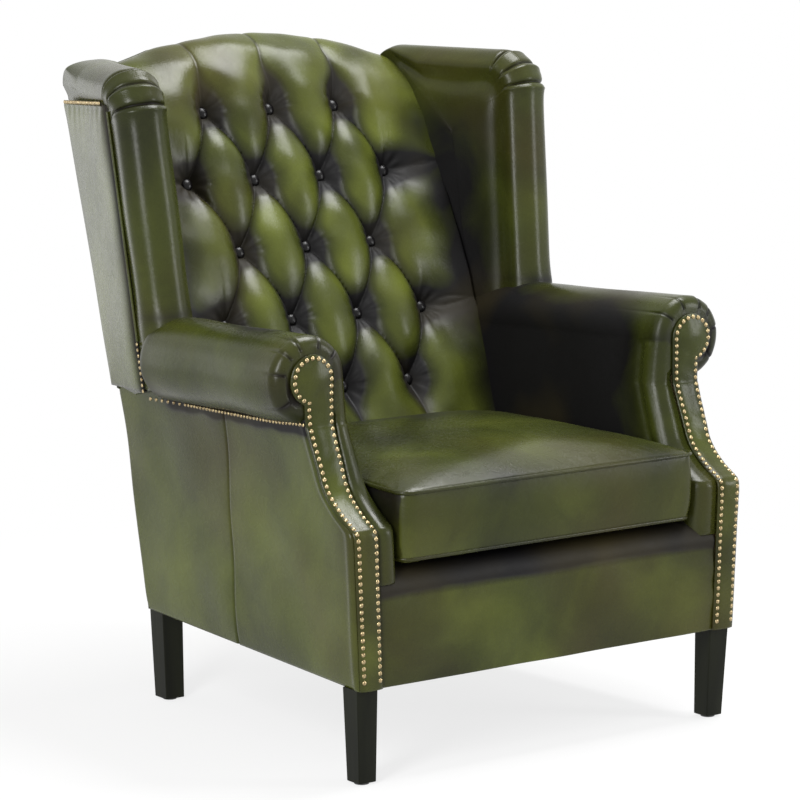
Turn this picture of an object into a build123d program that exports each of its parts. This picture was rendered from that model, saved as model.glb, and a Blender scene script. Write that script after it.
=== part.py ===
from build123d import *
import os
from math import atan2, cos, degrees, hypot, pi, radians, sin, sqrt

os.makedirs("parts", exist_ok=True)

# Wingback armchair: hardwood frame, webbing, padding and leather covers, with a loose seat cushion.
# Millimetres. The chair faces -Y, +Z is up, and the origin is on the floor under the middle.
# Setback is the distance behind the front of the arm facings. Right is +X, left is its mirror image.

# Base and sides
chair_depth = 850
leg_height = 145
base_front_half = 357
base_rear_half = 307
base_rear_setback = 652
side_flare = 18
side_seam_setback = 358
panel_thickness = 5
leather_thickness = 3
board_thickness = 4

# Rake of the back, in two straight runs, and its arched crest
elbow_setback = 701
elbow_height = 496
crest_height = 1041
crest_radius = 800
crest_round = 30

# Arms
neck_height = 536
knee_height = 384
knee_radius = 12
knee_curve_shares = [(1, 0), (0.79, 0.46), (0.63, 0.71), (0.36, 0.89)]
knee_end_share = 0.35
scroll_setback = 111
roll_seam_angle = 80
scroll_x = 362
scroll_height = 588
roll_radius = 65
facing_head_radius = 38
facing_foot_width = 40
facing_knee_width = 43
arm_post_inset = 10
arm_pad_outer = 45
arm_pad_thickness = 35
arm_pad_foot = 297
arm_rear_setback = 540
arm_rear_x = 343
arm_rear_height = 569

# Wings: the outer face is a plane that flares forwards and leans out
wing_plane_x = 490
wing_flare_share = 0.29
wing_lean_share = 0.09
wing_thickness = 78
wing_foot_height = 504
wing_foot_setback = 478
wing_top_drop = 33
wing_top_setback = 546
wing_front_corner = 75
wing_rear_corner = 60
wing_edge_round = 34
wing_panel_drop = 57
wing_panel_inset = 48
wing_panel_tilt = 15

# Frame timber
rail_thickness = 25
rail_height = 135
post_depth = 55
back_post_width = 34
back_post_depth = 42
back_rail_depth = 25
mid_rail_height = 60
arm_rail_width = 50
arm_rail_height = 22
arm_rail_front_x = 352
arm_rail_rear_x = 302
wing_timber = 22
wing_timber_width = 40
corner_block_size = 70
corner_block_height = 45

# Seat
deck_height = 322
web_width = 50
web_thickness = 1.5
seat_web_count = 5
border_thickness = 13
border_round = 28
seat_gap = 0.3
cushion_height = 106
cushion_crown = 26
cushion_front_half = 278
cushion_rear_half = 242
cushion_front_setback = 6
cushion_rear_setback = 479
cushion_corner = 30
crown_fit = 1.25
crown_steps = 6
crown_power = 4
piping_radius = 3.5

# Buttoned back
button_pitch = 129
button_row_pitch = 108
button_top_height = 919
button_top_setback = 756
button_slope_share = 0.4838
button_radius = 11
button_seat_radius = 11.3
button_dome = 7
button_rows = 5
button_columns = 4
puff_height = 38
back_foot_height = 440
back_foot_half = 245
back_half_width = 300
back_web_count = 4

# Legs
front_foot_size = 31
front_leg_size = 37
front_foot_half = 350
front_foot_setback = 14
front_leg_setback = 9
rear_foot_size = 34
rear_leg_size = 38
rear_foot_half = 303
rear_foot_setback = 606
glide_radius = 11
glide_height = 3
bolt_radius = 4
bolt_reach = 30
dust_thickness = 1

overrun = 60
reach = 500

front_y = -chair_depth / 2
wing_top_height = crest_height - wing_top_drop
wing_panel_top = wing_top_height - wing_panel_drop


# Places and surfaces that several pieces share
def point(setback, height, x=0):
    return Vector(x, front_y + setback, height)


def side_x(setback, height):
    plan = base_front_half + (base_rear_half - base_front_half) * setback / base_rear_setback
    return plan + side_flare * (height - leg_height) / (neck_height - leg_height)


def rear_setback(height):
    if height < elbow_height:
        rise = (height - leg_height) / (elbow_height - leg_height)
        return base_rear_setback + (elbow_setback - base_rear_setback) * rise
    rise = (height - elbow_height) / (crest_height - crest_round - elbow_height)
    return elbow_setback + (chair_depth - elbow_setback) * rise


def cut(body, tools):
    left = body.cut(*tools)
    return max(left.solids(), key=lambda s: s.volume)


def polygon(points):
    return Face(Wire.make_polygon(points, close=True))


def across(face, half=reach):
    return Solid.extrude(face.moved(Location((-half, 0, 0))), Vector(2 * half, 0, 0))


def depthwise(face):
    shift = Location((0, front_y - overrun, 0))
    return Solid.extrude(face.moved(shift), Vector(0, chair_depth + 2 * overrun, 0))


def slab_section(setback, low, high, offset, thickness):
    outer_low = side_x(setback, low) - offset
    outer_high = side_x(setback, high) - offset
    return polygon(
        [
            point(setback, low, outer_low - thickness),
            point(setback, low, outer_low),
            point(setback, high, outer_high),
            point(setback, high, outer_high - thickness),
        ]
    )


def side_slab(offset, thickness, low, high, front, rear):
    sections = [slab_section(s, low, high, offset, thickness) for s in (front, rear)]
    return Solid.make_loft([section.outer_wire() for section in sections], ruled=True)


def rear_band(offset, thickness):
    heights = [leg_height, elbow_height, crest_height + overrun]
    outer = [point(rear_setback(h) - offset, h) for h in heights]
    inner = [point(rear_setback(h) - offset - thickness, h) for h in reversed(heights)]
    return across(polygon(outer + inner))


def left_of(piece):
    return piece.mirror(Plane.YZ)


# The knee curve: the arm's front edge in side view, from the foot of the base to the scroll
def arm_region(shift=0, drop=0):
    fall = neck_height - knee_height
    curve_places = [(scroll_setback * run, neck_height - fall * down) for run, down in knee_curve_shares]
    places = [point(s + shift, h - drop) for s, h in curve_places + [(knee_radius, knee_height)]]
    end_direction = Vector(0, -1, -knee_end_share)
    curve = Edge.make_spline(places, tangents=[Vector(0, 0, -1), end_direction])
    nose_low = point(shift, knee_height - knee_radius - drop)
    nose = Edge.make_tangent_arc(places[-1], curve.tangent_at(1), nose_low)
    far = chair_depth + overrun
    corners = [
        nose_low,
        point(shift, 0),
        point(far, 0),
        point(far, crest_height),
        point(scroll_setback + shift, crest_height),
        places[0],
    ]
    lines = [Edge.make_line(a, b) for a, b in zip(corners, corners[1:])]
    return Face(Wire([curve, nose] + lines))


def facing_outline(inset=0, outer_inset=0):
    inner_foot = base_front_half - facing_foot_width + inset
    inner_knee = side_x(0, knee_height) - facing_knee_width + inset
    head_inner = scroll_x - facing_head_radius + inset
    strip = polygon(
        [
            Vector(inner_foot, 0, leg_height),
            Vector(side_x(0, leg_height) - outer_inset, 0, leg_height),
            Vector(side_x(0, scroll_height) - outer_inset, 0, scroll_height),
            Vector(head_inner, 0, scroll_height),
            Vector(inner_knee, 0, knee_height),
        ]
    )
    head_plane = Plane(origin=(scroll_x, 0, scroll_height), x_dir=(1, 0, 0), z_dir=(0, 1, 0))
    head = Face(Wire.make_circle(facing_head_radius - inset, head_plane))
    return depthwise(strip) + depthwise(head)


def facing():
    ribbon = across(arm_region()) - across(arm_region(leather_thickness, leather_thickness))
    return (ribbon & facing_outline()).solid()


def front_post():
    body = across(arm_region(leather_thickness, leather_thickness))
    body -= across(arm_region(post_depth + leather_thickness, post_depth))
    return (body & facing_outline(leather_thickness, arm_post_inset)).solid()


def arm_section(setback):
    run = (setback - scroll_setback) / (arm_rear_setback - scroll_setback)
    middle = Vector(
        scroll_x + (arm_rear_x - scroll_x) * run,
        front_y + setback,
        scroll_height + (arm_rear_height - scroll_height) * run,
    )
    inner = arm_pad_outer + arm_pad_thickness
    foot_in = point(setback, arm_pad_foot, side_x(setback, arm_pad_foot) - inner)
    foot_out = point(setback, arm_pad_foot, side_x(setback, arm_pad_foot) - arm_pad_outer)
    left = middle - Vector(roll_radius, 0, 0)
    top = middle + Vector(0, 0, roll_radius)
    seam_angle = radians(roll_seam_angle)
    seam = middle + Vector(cos(seam_angle), 0, -sin(seam_angle)) * roll_radius
    pocket = Vector(side_x(setback, seam.Z) - arm_pad_outer, seam.Y, seam.Z)
    return Wire(
        [
            Edge.make_line(foot_in, left),
            Edge.make_three_point_arc(left, top, seam),
            Edge.make_line(seam, pocket),
            Edge.make_line(pocket, foot_out),
            Edge.make_line(foot_out, foot_in),
        ]
    )


def arm_body():
    body = Solid.make_loft([arm_section(0), arm_section(arm_rear_setback)], ruled=True)
    return (body & across(arm_region(leather_thickness, leather_thickness))).solid()


def arm_rail():
    start = scroll_setback + leather_thickness + post_depth
    end = rear_setback(arm_rear_height) - panel_thickness
    half = arm_rail_width / 2
    deep = arm_rail_height / 2

    def section(setback, x, height):
        corners = [(-half, -deep), (half, -deep), (half, deep), (-half, deep)]
        places = [point(setback, height + dz, x + dx) for dx, dz in corners]
        return Wire.make_polygon(places, close=True)

    front = section(start, arm_rail_front_x, scroll_height)
    rear = section(end, arm_rail_rear_x, arm_rear_height)
    body = Solid.make_loft([front, rear], ruled=True)
    return cut(body, [back_post(), rear_band(0, panel_thickness)])


# Wings
def wing_point(setback, height, offset=0):
    x = wing_plane_x - wing_flare_share * setback + wing_lean_share * height
    normal = Vector(1, wing_flare_share, -wing_lean_share).normalized()
    return point(setback, height, x) - normal * offset


def wing_prism(outline, offset, thickness, rounding=None):
    wire = Wire.make_polygon([wing_point(s, h, offset) for s, h in outline], close=True)
    for corner, radius in (rounding or {}).items():
        place = wing_point(*outline[corner], offset)
        vertex = min(wire.vertices(), key=lambda v: (Vector(*v) - place).length)
        wire = wire.fillet_2d(radius, [vertex])
    normal = Vector(1, wing_flare_share, -wing_lean_share).normalized()
    return Solid.extrude(Face(wire), normal * -thickness)


def wing_outline(inset=0):
    slope = (wing_top_setback - wing_foot_setback) / (wing_top_height - wing_foot_height)
    top = wing_top_height - inset
    return [
        (rear_setback(wing_foot_height), wing_foot_height),
        (rear_setback(top), top),
        (wing_top_setback + inset - slope * inset, top),
        (wing_foot_setback + inset, wing_foot_height),
    ]


def wing_body():
    rounding = {1: wing_rear_corner, 2: wing_front_corner}
    body = wing_prism(wing_outline(), 0, wing_thickness, rounding)
    return body.fillet(wing_edge_round, [e for e in body.edges() if is_rolled(e)])


def is_rolled(edge):
    middle = edge.position_at(0.5)
    along_face = edge.length > wing_thickness + leather_thickness
    off_foot = middle.Z > wing_foot_height + leather_thickness
    off_rear = middle.Y - front_y < rear_setback(middle.Z) - overrun / 2
    return along_face and off_foot and off_rear


def wing_panel():
    front_low = wing_foot_setback + wing_panel_inset
    front_high = wing_top_setback + wing_panel_inset
    top_front = wing_panel_top - wing_panel_tilt
    outline = [
        (rear_setback(wing_foot_height) - panel_thickness, wing_foot_height),
        (rear_setback(wing_panel_top) - panel_thickness, wing_panel_top),
        (front_high, top_front),
        (front_low, wing_foot_height),
    ]
    return wing_prism(outline, 0, leather_thickness)


def wing_post():
    depth = (wing_thickness - wing_timber) / 2
    low = arm_rear_height + arm_rail_height / 2
    high = wing_top_height - wing_edge_round - wing_timber_width
    slope = (wing_top_setback - wing_foot_setback) / (wing_top_height - wing_foot_height)
    front_low = wing_foot_setback + slope * (low - wing_foot_height) + wing_edge_round
    front_high = wing_foot_setback + slope * (high - wing_foot_height) + wing_edge_round
    outline = [
        (front_low, low),
        (front_high, high),
        (front_high + wing_timber_width, high),
        (front_low + wing_timber_width, low),
    ]
    return wing_prism(outline, depth, wing_timber)


def wing_rail():
    depth = (wing_thickness - wing_timber) / 2
    low = wing_top_height - wing_edge_round - wing_timber_width
    high = low + wing_timber_width
    front = wing_top_setback + wing_front_corner / 2
    outline = [
        (rear_setback(low) - panel_thickness - back_post_depth, low),
        (rear_setback(high) - panel_thickness - back_post_depth, high),
        (front + wing_timber_width / 2, high),
        (front, low),
    ]
    return wing_prism(outline, depth, wing_timber)


# Back frame
def back_half(height):
    if height < elbow_height:
        return side_x(rear_setback(height), height)
    return wing_point(rear_setback(height), height).X


def back_post():
    top = wing_panel_top
    heights = [leg_height, elbow_height, top]
    outer = [Vector(back_half(h) - panel_thickness - leather_thickness, 0, h) for h in heights]
    inner = [v - Vector(back_post_width, 0, 0) for v in reversed(outer)]
    return (rear_band(panel_thickness, back_post_depth) & depthwise(polygon(outer + inner))).solid()


def arch(inset=0, half=reach):
    circle = Plane(origin=(0, 0, crest_height - crest_radius), x_dir=(1, 0, 0), z_dir=(0, 1, 0))
    disc = Face(Wire.make_circle(crest_radius - inset, circle))
    return depthwise(disc) & depthwise(box_face(-half, half, 0, crest_height))


def back_outline(gap=0):
    heights = [leg_height, elbow_height, crest_height]
    right = [Vector(back_half(h) - gap, 0, h) for h in heights]
    left = [Vector(-v.X, 0, v.Z) for v in reversed(right)]
    return depthwise(polygon(right + left))


def outside_back():
    panel = rear_band(0, panel_thickness) & back_outline()
    return (panel & arch(crest_round)).solid()


def top_rail():
    half = back_half(wing_panel_top) - panel_thickness - leather_thickness - back_post_width
    arch_end = crest_height - crest_radius + sqrt(crest_radius**2 - half**2)
    low = arch_end - crest_round - wing_timber_width
    band = rear_band(panel_thickness, back_rail_depth) & arch(crest_round, half)
    return (band & depthwise(box_face(-half, half, low, crest_height))).solid()


def box_face(left, right, low, high):
    corners = [(left, low), (right, low), (right, high), (left, high)]
    return polygon([Vector(x, 0, z) for x, z in corners])


def back_rail(low, high):
    posts = back_post() + left_of(back_post())
    band = rear_band(panel_thickness, back_rail_depth) & back_outline(panel_thickness + leather_thickness)
    return (band & depthwise(box_face(-reach, reach, low, high)) - posts).solid()


# Deep-buttoned back: round ridges between pleats, crossing to diamond puffs between the buttons
def button_setback(height):
    return button_top_setback - (button_top_height - height) * button_slope_share


def button_normal():
    return Vector(0, -1, button_slope_share).normalized()


def button_plane():
    middle = point(button_top_setback, button_top_height)
    return Plane(origin=middle, x_dir=(1, 0, 0), z_dir=button_normal())


def ridges(turn, pleats):
    half = button_pitch / 2
    first = pleats[0]
    last = pleats[-1]
    far = 2 * reach

    def place(width, rise):
        return Vector(width, -far, rise)

    edges = [
        Edge.make_line(place(-far, puff_height), place(first - half, puff_height)),
        Edge.make_tangent_arc(place(first - half, puff_height), Vector(1, 0, 0), place(first, 0)),
    ]
    for low, high in zip(pleats, pleats[1:]):
        crown = place((low + high) / 2, puff_height)
        edges.append(Edge.make_three_point_arc(place(low, 0), crown, place(high, 0)))
    edges += [
        Edge.make_tangent_arc(place(last + half, puff_height), Vector(-1, 0, 0), place(last, 0)),
        Edge.make_line(place(last + half, puff_height), place(far, puff_height)),
        Edge.make_line(place(far, puff_height), place(far, -reach)),
        Edge.make_line(place(far, -reach), place(-far, -reach)),
        Edge.make_line(place(-far, -reach), place(-far, puff_height)),
    ]
    return Solid.extrude(Face(Wire(edges)), Vector(0, 2 * far, 0)).rotate(Axis.Z, turn)


def zone(left, right, low, high):
    depth = reach - overrun
    corners = [(left, low), (right, low), (right, high), (left, high)]
    face = polygon([Vector(x, y, -depth) for x, y in corners])
    return Solid.extrude(face, Vector(0, 0, 2 * depth))


def crossed(one, other, frame):
    return ((one & frame) & (other & frame)).solid()


def buttoned_body():
    row = button_row_pitch * hypot(1, button_slope_share)
    slant = degrees(atan2(button_pitch / 2, row))
    spacing = button_pitch * row / hypot(button_pitch / 2, row)
    pleats = [spacing * i for i in range(-button_rows, button_rows + 1)]
    edge = button_pitch * (button_columns - 1) / 2
    foot = -row * (button_rows - 1)
    upright = ridges(0, [-button_pitch, 0, button_pitch])
    level = ridges(-90, [-row * (button_rows - 2), -row])
    field = crossed(ridges(-slant, pleats), ridges(slant, pleats), zone(-edge, edge, foot, 0))
    crest = crossed(upright, level, zone(-reach, reach, 0, reach))
    base = crossed(upright, level, zone(-reach, reach, -2 * reach, foot))
    right = (level & zone(edge, reach, foot, 0)).solid()
    left = (level & zone(-reach, -edge, foot, 0)).solid()
    body = field.fuse(crest, base, right, left).solid()
    return body.moved(button_plane().location)


def back_envelope():
    top = crest_height + overrun
    clear = puff_height * hypot(1, button_slope_share) + panel_thickness
    foot = cushion_rear_setback + piping_radius + seat_gap
    front = [
        point(foot, deck_height),
        point(foot, back_foot_height),
        point(button_setback(back_foot_height) - clear, back_foot_height),
        point(button_setback(top) - clear, top),
    ]
    rear = [point(rear_setback(h), h) for h in [top, elbow_height, deck_height]]
    right = [
        Vector(back_foot_half, 0, deck_height),
        Vector(back_foot_half, 0, wing_foot_height),
        Vector(back_half_width, 0, wing_foot_height),
        Vector(back_half_width, 0, top),
    ]
    left = [Vector(-v.X, 0, v.Z) for v in reversed(right)]
    body = across(polygon(front + rear)) & depthwise(polygon(right + left)) & arch()
    crest = [e for e in body.edges() if e.geom_type != GeomType.LINE and e.length > back_half_width]
    front_edge, rear_edge = sorted(crest, key=lambda e: e.center().Y)
    body = body.fillet(crest_round + panel_thickness, [front_edge])
    rear_edge = min(body.edges(), key=lambda e: (e.center() - rear_edge.center()).length)
    return body.fillet(crest_round, [rear_edge])


def back_pad(neighbours):
    body = buttoned_body() & back_envelope()
    depth = panel_thickness + back_rail_depth + web_thickness
    tools = [
        Solid.make_cylinder(button_seat_radius, 2 * puff_height, Plane(origin=place, z_dir=button_normal()))
        for place in button_places()
    ]
    tools.append((rear_band(0, depth) & arch(crest_round)).solid())
    return cut(body, tools + neighbours)


def button_places():
    for row in range(button_rows):
        height = button_top_height - row * button_row_pitch
        count = button_columns - 1 if row % 2 == 0 else button_columns
        for i in range(count):
            x = (i - (count - 1) / 2) * button_pitch
            yield point(button_setback(height), height, x)


def buttons():
    sphere_radius = (button_radius**2 + button_dome**2) / (2 * button_dome)
    solids = []
    for place in button_places():
        seat = Plane(origin=place, z_dir=button_normal())
        ball = Solid.make_sphere(sphere_radius, seat.offset(button_dome - sphere_radius))
        post = Solid.make_cylinder(button_radius, 2 * button_dome, seat)
        solids.append((ball & post).solid())
    return Compound(children=solids)


def back_web():
    band = rear_band(panel_thickness + back_rail_depth, web_thickness) & arch(2 * crest_round)
    low = elbow_height - mid_rail_height
    outer = back_half(elbow_height) - back_post_width - web_width
    strips = []
    for i in range(back_web_count):
        x = (outer - web_width / 2) * (2 * i / (back_web_count - 1) - 1)
        frame = box_face(x - web_width / 2, x + web_width / 2, low, crest_height)
        strips.append((band & depthwise(frame)).solid())
    return Compound(children=strips)


# Arms and sides
def arm_pad():
    return cut(arm_body(), [front_post(), arm_rail(), wing_body(), wing_post(), back_post()])


def arm_board():
    low = arm_pad_foot
    high = arm_rear_height - arm_rail_height
    slab = side_slab(arm_pad_outer - board_thickness, board_thickness, low, high, 0, arm_rear_setback)
    region = across(arm_region(post_depth + 2 * leather_thickness, post_depth))
    body = (slab & region) - arm_rail() - arm_pad()
    return max(body.solids(), key=lambda s: s.volume)


def side_panel(front, rear, top_front, top_rear):
    slab = side_slab(0, panel_thickness, leg_height, wing_foot_height + overrun, 0, chair_depth)
    region = arm_region(leather_thickness, leather_thickness)
    corners = [(front, leg_height), (rear, leg_height), (rear, top_rear), (front, top_front)]
    outline = polygon([point(s, h) for s, h in corners])
    body = slab & across(region) & across(outline)
    tools = [arm_body(), wing_body(), facing(), front_post(), back_post(), rear_band(0, panel_thickness)]
    return cut(body, tools)


def side_panels():
    drop = (arm_rear_height - scroll_height) / (arm_rear_setback - scroll_setback)
    under_front = scroll_height - roll_radius - drop * scroll_setback
    under_seam = under_front + drop * side_seam_setback
    rear_top = wing_foot_height - seat_gap
    front_piece = side_panel(0, side_seam_setback - seat_gap, under_front, under_seam)
    rear_piece = side_panel(side_seam_setback, chair_depth, under_seam, rear_top)
    return front_piece, rear_piece


def side_rail():
    low = leg_height
    rear = base_rear_setback - panel_thickness - back_post_depth
    inset = panel_thickness + arm_post_inset
    body = side_slab(inset, rail_thickness, low, low + rail_height, 0, rear + overrun)
    front_cut = across(arm_region(leather_thickness + post_depth, 0))
    body = (body & front_cut) - front_post() - back_post()
    return max(body.solids(), key=lambda s: s.volume)


# Seat frame and front border
def front_inner():
    return base_front_half - facing_foot_width


def front_rail():
    half = front_inner() + leather_thickness
    face = polygon(
        [
            point(border_thickness, leg_height),
            point(border_thickness + rail_thickness, leg_height),
            point(border_thickness + rail_thickness, leg_height + rail_height),
            point(border_thickness, leg_height + rail_height),
        ]
    )
    return across(face, half)


def front_border(neighbours):
    rail_top = leg_height + rail_height
    rear = border_thickness + rail_thickness + web_width / 2
    inner = point(border_thickness, rail_top + 2 * web_thickness)
    corner = point(leather_thickness, deck_height)
    start = corner - Vector(0, 0, border_round)
    end = corner + Vector(0, border_round, 0)
    centre = corner + Vector(0, border_round, -border_round)
    middle = centre + Vector(0, -cos(pi / 4), sin(pi / 4)) * border_round
    foot = point(leather_thickness, leg_height)
    wire = Wire(
        [
            Edge.make_line(foot, start),
            Edge.make_three_point_arc(start, middle, end),
            Edge.make_line(end, point(rear, deck_height)),
            Edge.make_line(point(rear, deck_height), point(rear, inner.Z)),
            Edge.make_line(point(rear, inner.Z), inner),
            Edge.make_line(inner, point(border_thickness, leg_height)),
            Edge.make_line(point(border_thickness, leg_height), foot),
        ]
    )
    body = across(Face(wire), front_inner() + facing_knee_width)
    return cut(body, neighbours)


def seat_web():
    top = leg_height + rail_height
    front = border_thickness
    rear = rear_setback(top) - panel_thickness - seat_gap
    inset = panel_thickness + arm_post_inset
    outer = side_x(rear, top) - inset - back_post_width - web_width
    first = post_depth + web_width
    last = rear - back_post_depth - 2 * web_width
    strips = []
    for i in range(seat_web_count):
        share = i / (seat_web_count - 1)
        x = outer * (2 * share - 1)
        places = plan_corners(front, rear, x - web_width / 2, x + web_width / 2, top)
        strips.append(plate(places, web_thickness))
        s = first + (last - first) * share
        wide = side_x(s + web_width, top) - inset
        places = plan_corners(s, s + web_width, -wide, wide, top + web_thickness)
        strips.append(plate(places, web_thickness))
    return Compound(children=strips)


def plan_corners(front, rear, left, right, height):
    corners = [(front, left), (front, right), (rear, right), (rear, left)]
    return [point(s, height, x) for s, x in corners]


def plate(corners, thickness):
    return Solid.extrude(polygon(corners), Vector(0, 0, thickness))


def seat_deck(neighbours):
    low = leg_height + rail_height + 2 * web_thickness
    front = border_thickness + rail_thickness + web_width / 2
    rear = button_setback(back_foot_height) - seat_gap
    inner = arm_pad_outer + arm_pad_thickness + seat_gap
    corners = [
        point(front, low, side_x(front, low) - inner),
        point(rear, low, side_x(rear, low) - inner),
    ]
    mirrored = [Vector(-v.X, v.Y, v.Z) for v in reversed(corners)]
    body = plate(corners + mirrored, deck_height - low)
    return cut(body, neighbours)


def corner_blocks():
    low = leg_height
    front = border_thickness + rail_thickness
    rear = rear_setback(low + corner_block_height) - panel_thickness - back_rail_depth
    solids = []
    for setback, turn in ((front, 1), (rear, -1)):
        edge = side_x(setback + turn * corner_block_size / 2, low) - panel_thickness - arm_post_inset
        corner = point(setback, low, edge - rail_thickness - leather_thickness)
        inward = corner - Vector(corner_block_size, 0, 0)
        triangle = [corner, inward, corner + Vector(0, turn * corner_block_size, 0)]
        tools = [front_post(), back_post(), side_rail(), rear_band(0, panel_thickness + back_rail_depth)]
        block = cut(plate(triangle, corner_block_height), tools)
        solids += [block, left_of(block)]
    return Compound(children=solids)


# Loose seat cushion
def cushion_wire(height, inset=0):
    corners = [
        (cushion_front_setback + inset, cushion_front_half - inset),
        (cushion_rear_setback - inset, cushion_rear_half - inset),
    ]
    right = [point(s, height, x) for s, x in corners]
    left = [Vector(-v.X, v.Y, v.Z) for v in reversed(right)]
    wire = Wire.make_polygon(right + left, close=True)
    return wire.fillet_2d(cushion_corner - inset, wire.vertices())


def cushion_foot():
    return deck_height + seat_gap


def cushion_seams(radius):
    seams = []
    for height in (cushion_foot() + piping_radius, cushion_foot() + cushion_height - piping_radius):
        path = cushion_wire(height)
        circle = Wire.make_circle(radius, Plane(origin=path.position_at(0), z_dir=path.tangent_at(0)))
        seams.append(Solid.sweep(Face(circle), path))
    return seams


def cushion_piping():
    return Compound(children=cushion_seams(piping_radius))


def crown_face():
    high = cushion_foot() + cushion_height
    length = cushion_rear_setback - cushion_front_setback
    shares = [2 * i / crown_steps - 1 for i in range(crown_steps + 1)]
    places = []
    for u in shares:
        row = []
        for v in shares:
            rise = cushion_crown * (1 - abs(u) ** crown_power) * (1 - abs(v) ** crown_power)
            setback = cushion_front_setback + length * (v + 1) / 2
            row.append(point(setback, high + rise, u * cushion_front_half))
        places.append(row)
    return Face.make_surface_from_array_of_points(places, tol=crown_fit)


def seat_cushion():
    rise = cushion_height + cushion_crown
    block = Solid.extrude(Face(cushion_wire(cushion_foot())), Vector(0, 0, rise))
    crown = Solid.extrude(crown_face(), Vector(0, 0, -rise - cushion_crown))
    return cut((block & crown).solid(), cushion_seams(piping_radius + seat_gap))


# Legs and what fixes them
def leg(top_size, foot_size, top_outer, foot_outer, top_setback, foot_setback):
    def square(size, outer, setback, height):
        corners = plan_corners(setback, setback + size, outer - size, outer, height)
        return Wire.make_polygon(corners, close=True)

    top = square(top_size, top_outer, top_setback, leg_height)
    foot = square(foot_size, foot_outer, foot_setback, glide_height)
    return Solid.make_loft([foot, top], ruled=True)


def front_leg():
    outer = base_front_half - seat_gap
    return leg(front_leg_size, front_foot_size, outer, front_foot_half, front_leg_setback, front_foot_setback)


def rear_leg():
    outer = base_rear_half - seat_gap
    setback = base_rear_setback - panel_thickness - rear_leg_size
    return leg(rear_leg_size, rear_foot_size, outer, rear_foot_half, setback, rear_foot_setback)


def foot_centres():
    front = point(front_foot_setback + front_foot_size / 2, 0, front_foot_half - front_foot_size / 2)
    rear = point(rear_foot_setback + rear_foot_size / 2, 0, rear_foot_half - rear_foot_size / 2)
    return [front, rear]


def bolt_centres():
    front_x = (base_front_half - facing_foot_width + base_front_half - arm_post_inset) / 2
    front = point(front_leg_setback + front_leg_size / 2, 0, front_x)
    rear_x = back_half(leg_height) - panel_thickness - leather_thickness - back_post_width / 2
    rear = point(base_rear_setback - panel_thickness - rear_leg_size / 2, 0, rear_x)
    return [front, rear]


def rods(centres, radius, low, high):
    solids = []
    for centre in centres:
        for side in (1, -1):
            foot = Vector(side * centre.X, centre.Y, low)
            solids.append(Solid.make_cylinder(radius, high - low, Plane(origin=foot)))
    return Compound(children=solids)


def dust_cover(neighbours):
    front = border_thickness
    rear = rear_setback(leg_height) - panel_thickness
    inner = panel_thickness + leather_thickness
    low = leg_height - dust_thickness
    right = [point(s, low, side_x(s, leg_height) - inner) for s in (front, rear)]
    left = [Vector(-v.X, v.Y, v.Z) for v in reversed(right)]
    body = plate(right + left, dust_thickness)
    return cut(body, neighbours)


# Assembly: right-hand pieces are mirrored for the left, and each sub-part is written to its own file
def build():
    pieces = {}

    def pair(name, right):
        pieces[name + "_right"] = right
        pieces[name + "_left"] = left_of(right)

    def both(*names):
        return [pieces[name + side] for name in names for side in ("_right", "_left")]

    bolts = rods(bolt_centres(), bolt_radius, leg_height - bolt_reach, leg_height + bolt_reach)
    right_bolts = [b for b in bolts.solids() if b.center().X > 0]
    pair("front_post", cut(front_post(), right_bolts))
    pair("back_post", cut(back_post(), right_bolts))
    pair("front_leg", cut(front_leg(), right_bolts))
    pair("rear_leg", cut(rear_leg(), right_bolts))
    pieces["leg_bolts"] = bolts
    pieces["foot_glides"] = rods(foot_centres(), glide_radius, 0, glide_height)
    pair("side_rail", side_rail())
    pair("arm_rail", arm_rail())
    pair("wing_post", wing_post() - arm_rail())
    pair("wing_rail", wing_rail() - back_post())
    pieces["front_rail"] = cut(front_rail(), both("front_post"))
    pieces["back_rail"] = back_rail(leg_height, leg_height + rail_height)
    pieces["mid_back_rail"] = back_rail(elbow_height - mid_rail_height, elbow_height)
    pieces["top_back_rail"] = cut(top_rail(), both("back_post", "wing_rail"))
    pieces["corner_blocks"] = corner_blocks()

    pair("arm_board", arm_board())
    pair("arm_pad", arm_pad())
    pair("arm_facing", facing())
    front_piece, rear_piece = side_panels()
    pair("side_panel_front", front_piece)
    pair("side_panel_rear", rear_piece)
    panel = wing_panel()
    pair("outside_wing", cut(panel, [rear_band(0, panel_thickness), back_post()]))
    timbers = [wing_post(), wing_rail(), arm_rail(), back_post(), top_rail(), pieces["mid_back_rail"]]
    pair("wing_pad", cut(wing_body(), timbers + [panel, rear_band(0, panel_thickness)]))
    pieces["outside_back"] = outside_back()
    pieces["back_web"] = back_web()
    neighbours = both("arm_pad", "arm_rail", "arm_board", "back_post", "side_panel_rear")
    neighbours += [pieces["top_back_rail"], wing_body(), left_of(wing_body())]
    pieces["back_pad"] = back_pad(neighbours)
    pieces["back_buttons"] = buttons()

    pieces["seat_web"] = seat_web()
    border_neighbours = both("front_post", "arm_pad", "arm_board", "arm_facing", "side_panel_front")
    border_neighbours.append(pieces["front_rail"])
    pieces["front_border"] = front_border(border_neighbours)
    pieces["seat_deck"] = seat_deck([pieces["back_pad"]])
    pieces["dust_cover"] = dust_cover(both("front_leg", "rear_leg") + bolts.solids())
    pieces["cushion_piping"] = cushion_piping()
    pieces["seat_cushion"] = seat_cushion()
    return pieces


if __name__ == "__main__":
    for node, shape in build().items():
        export_step(shape, f"parts/{node}.step")
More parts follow.
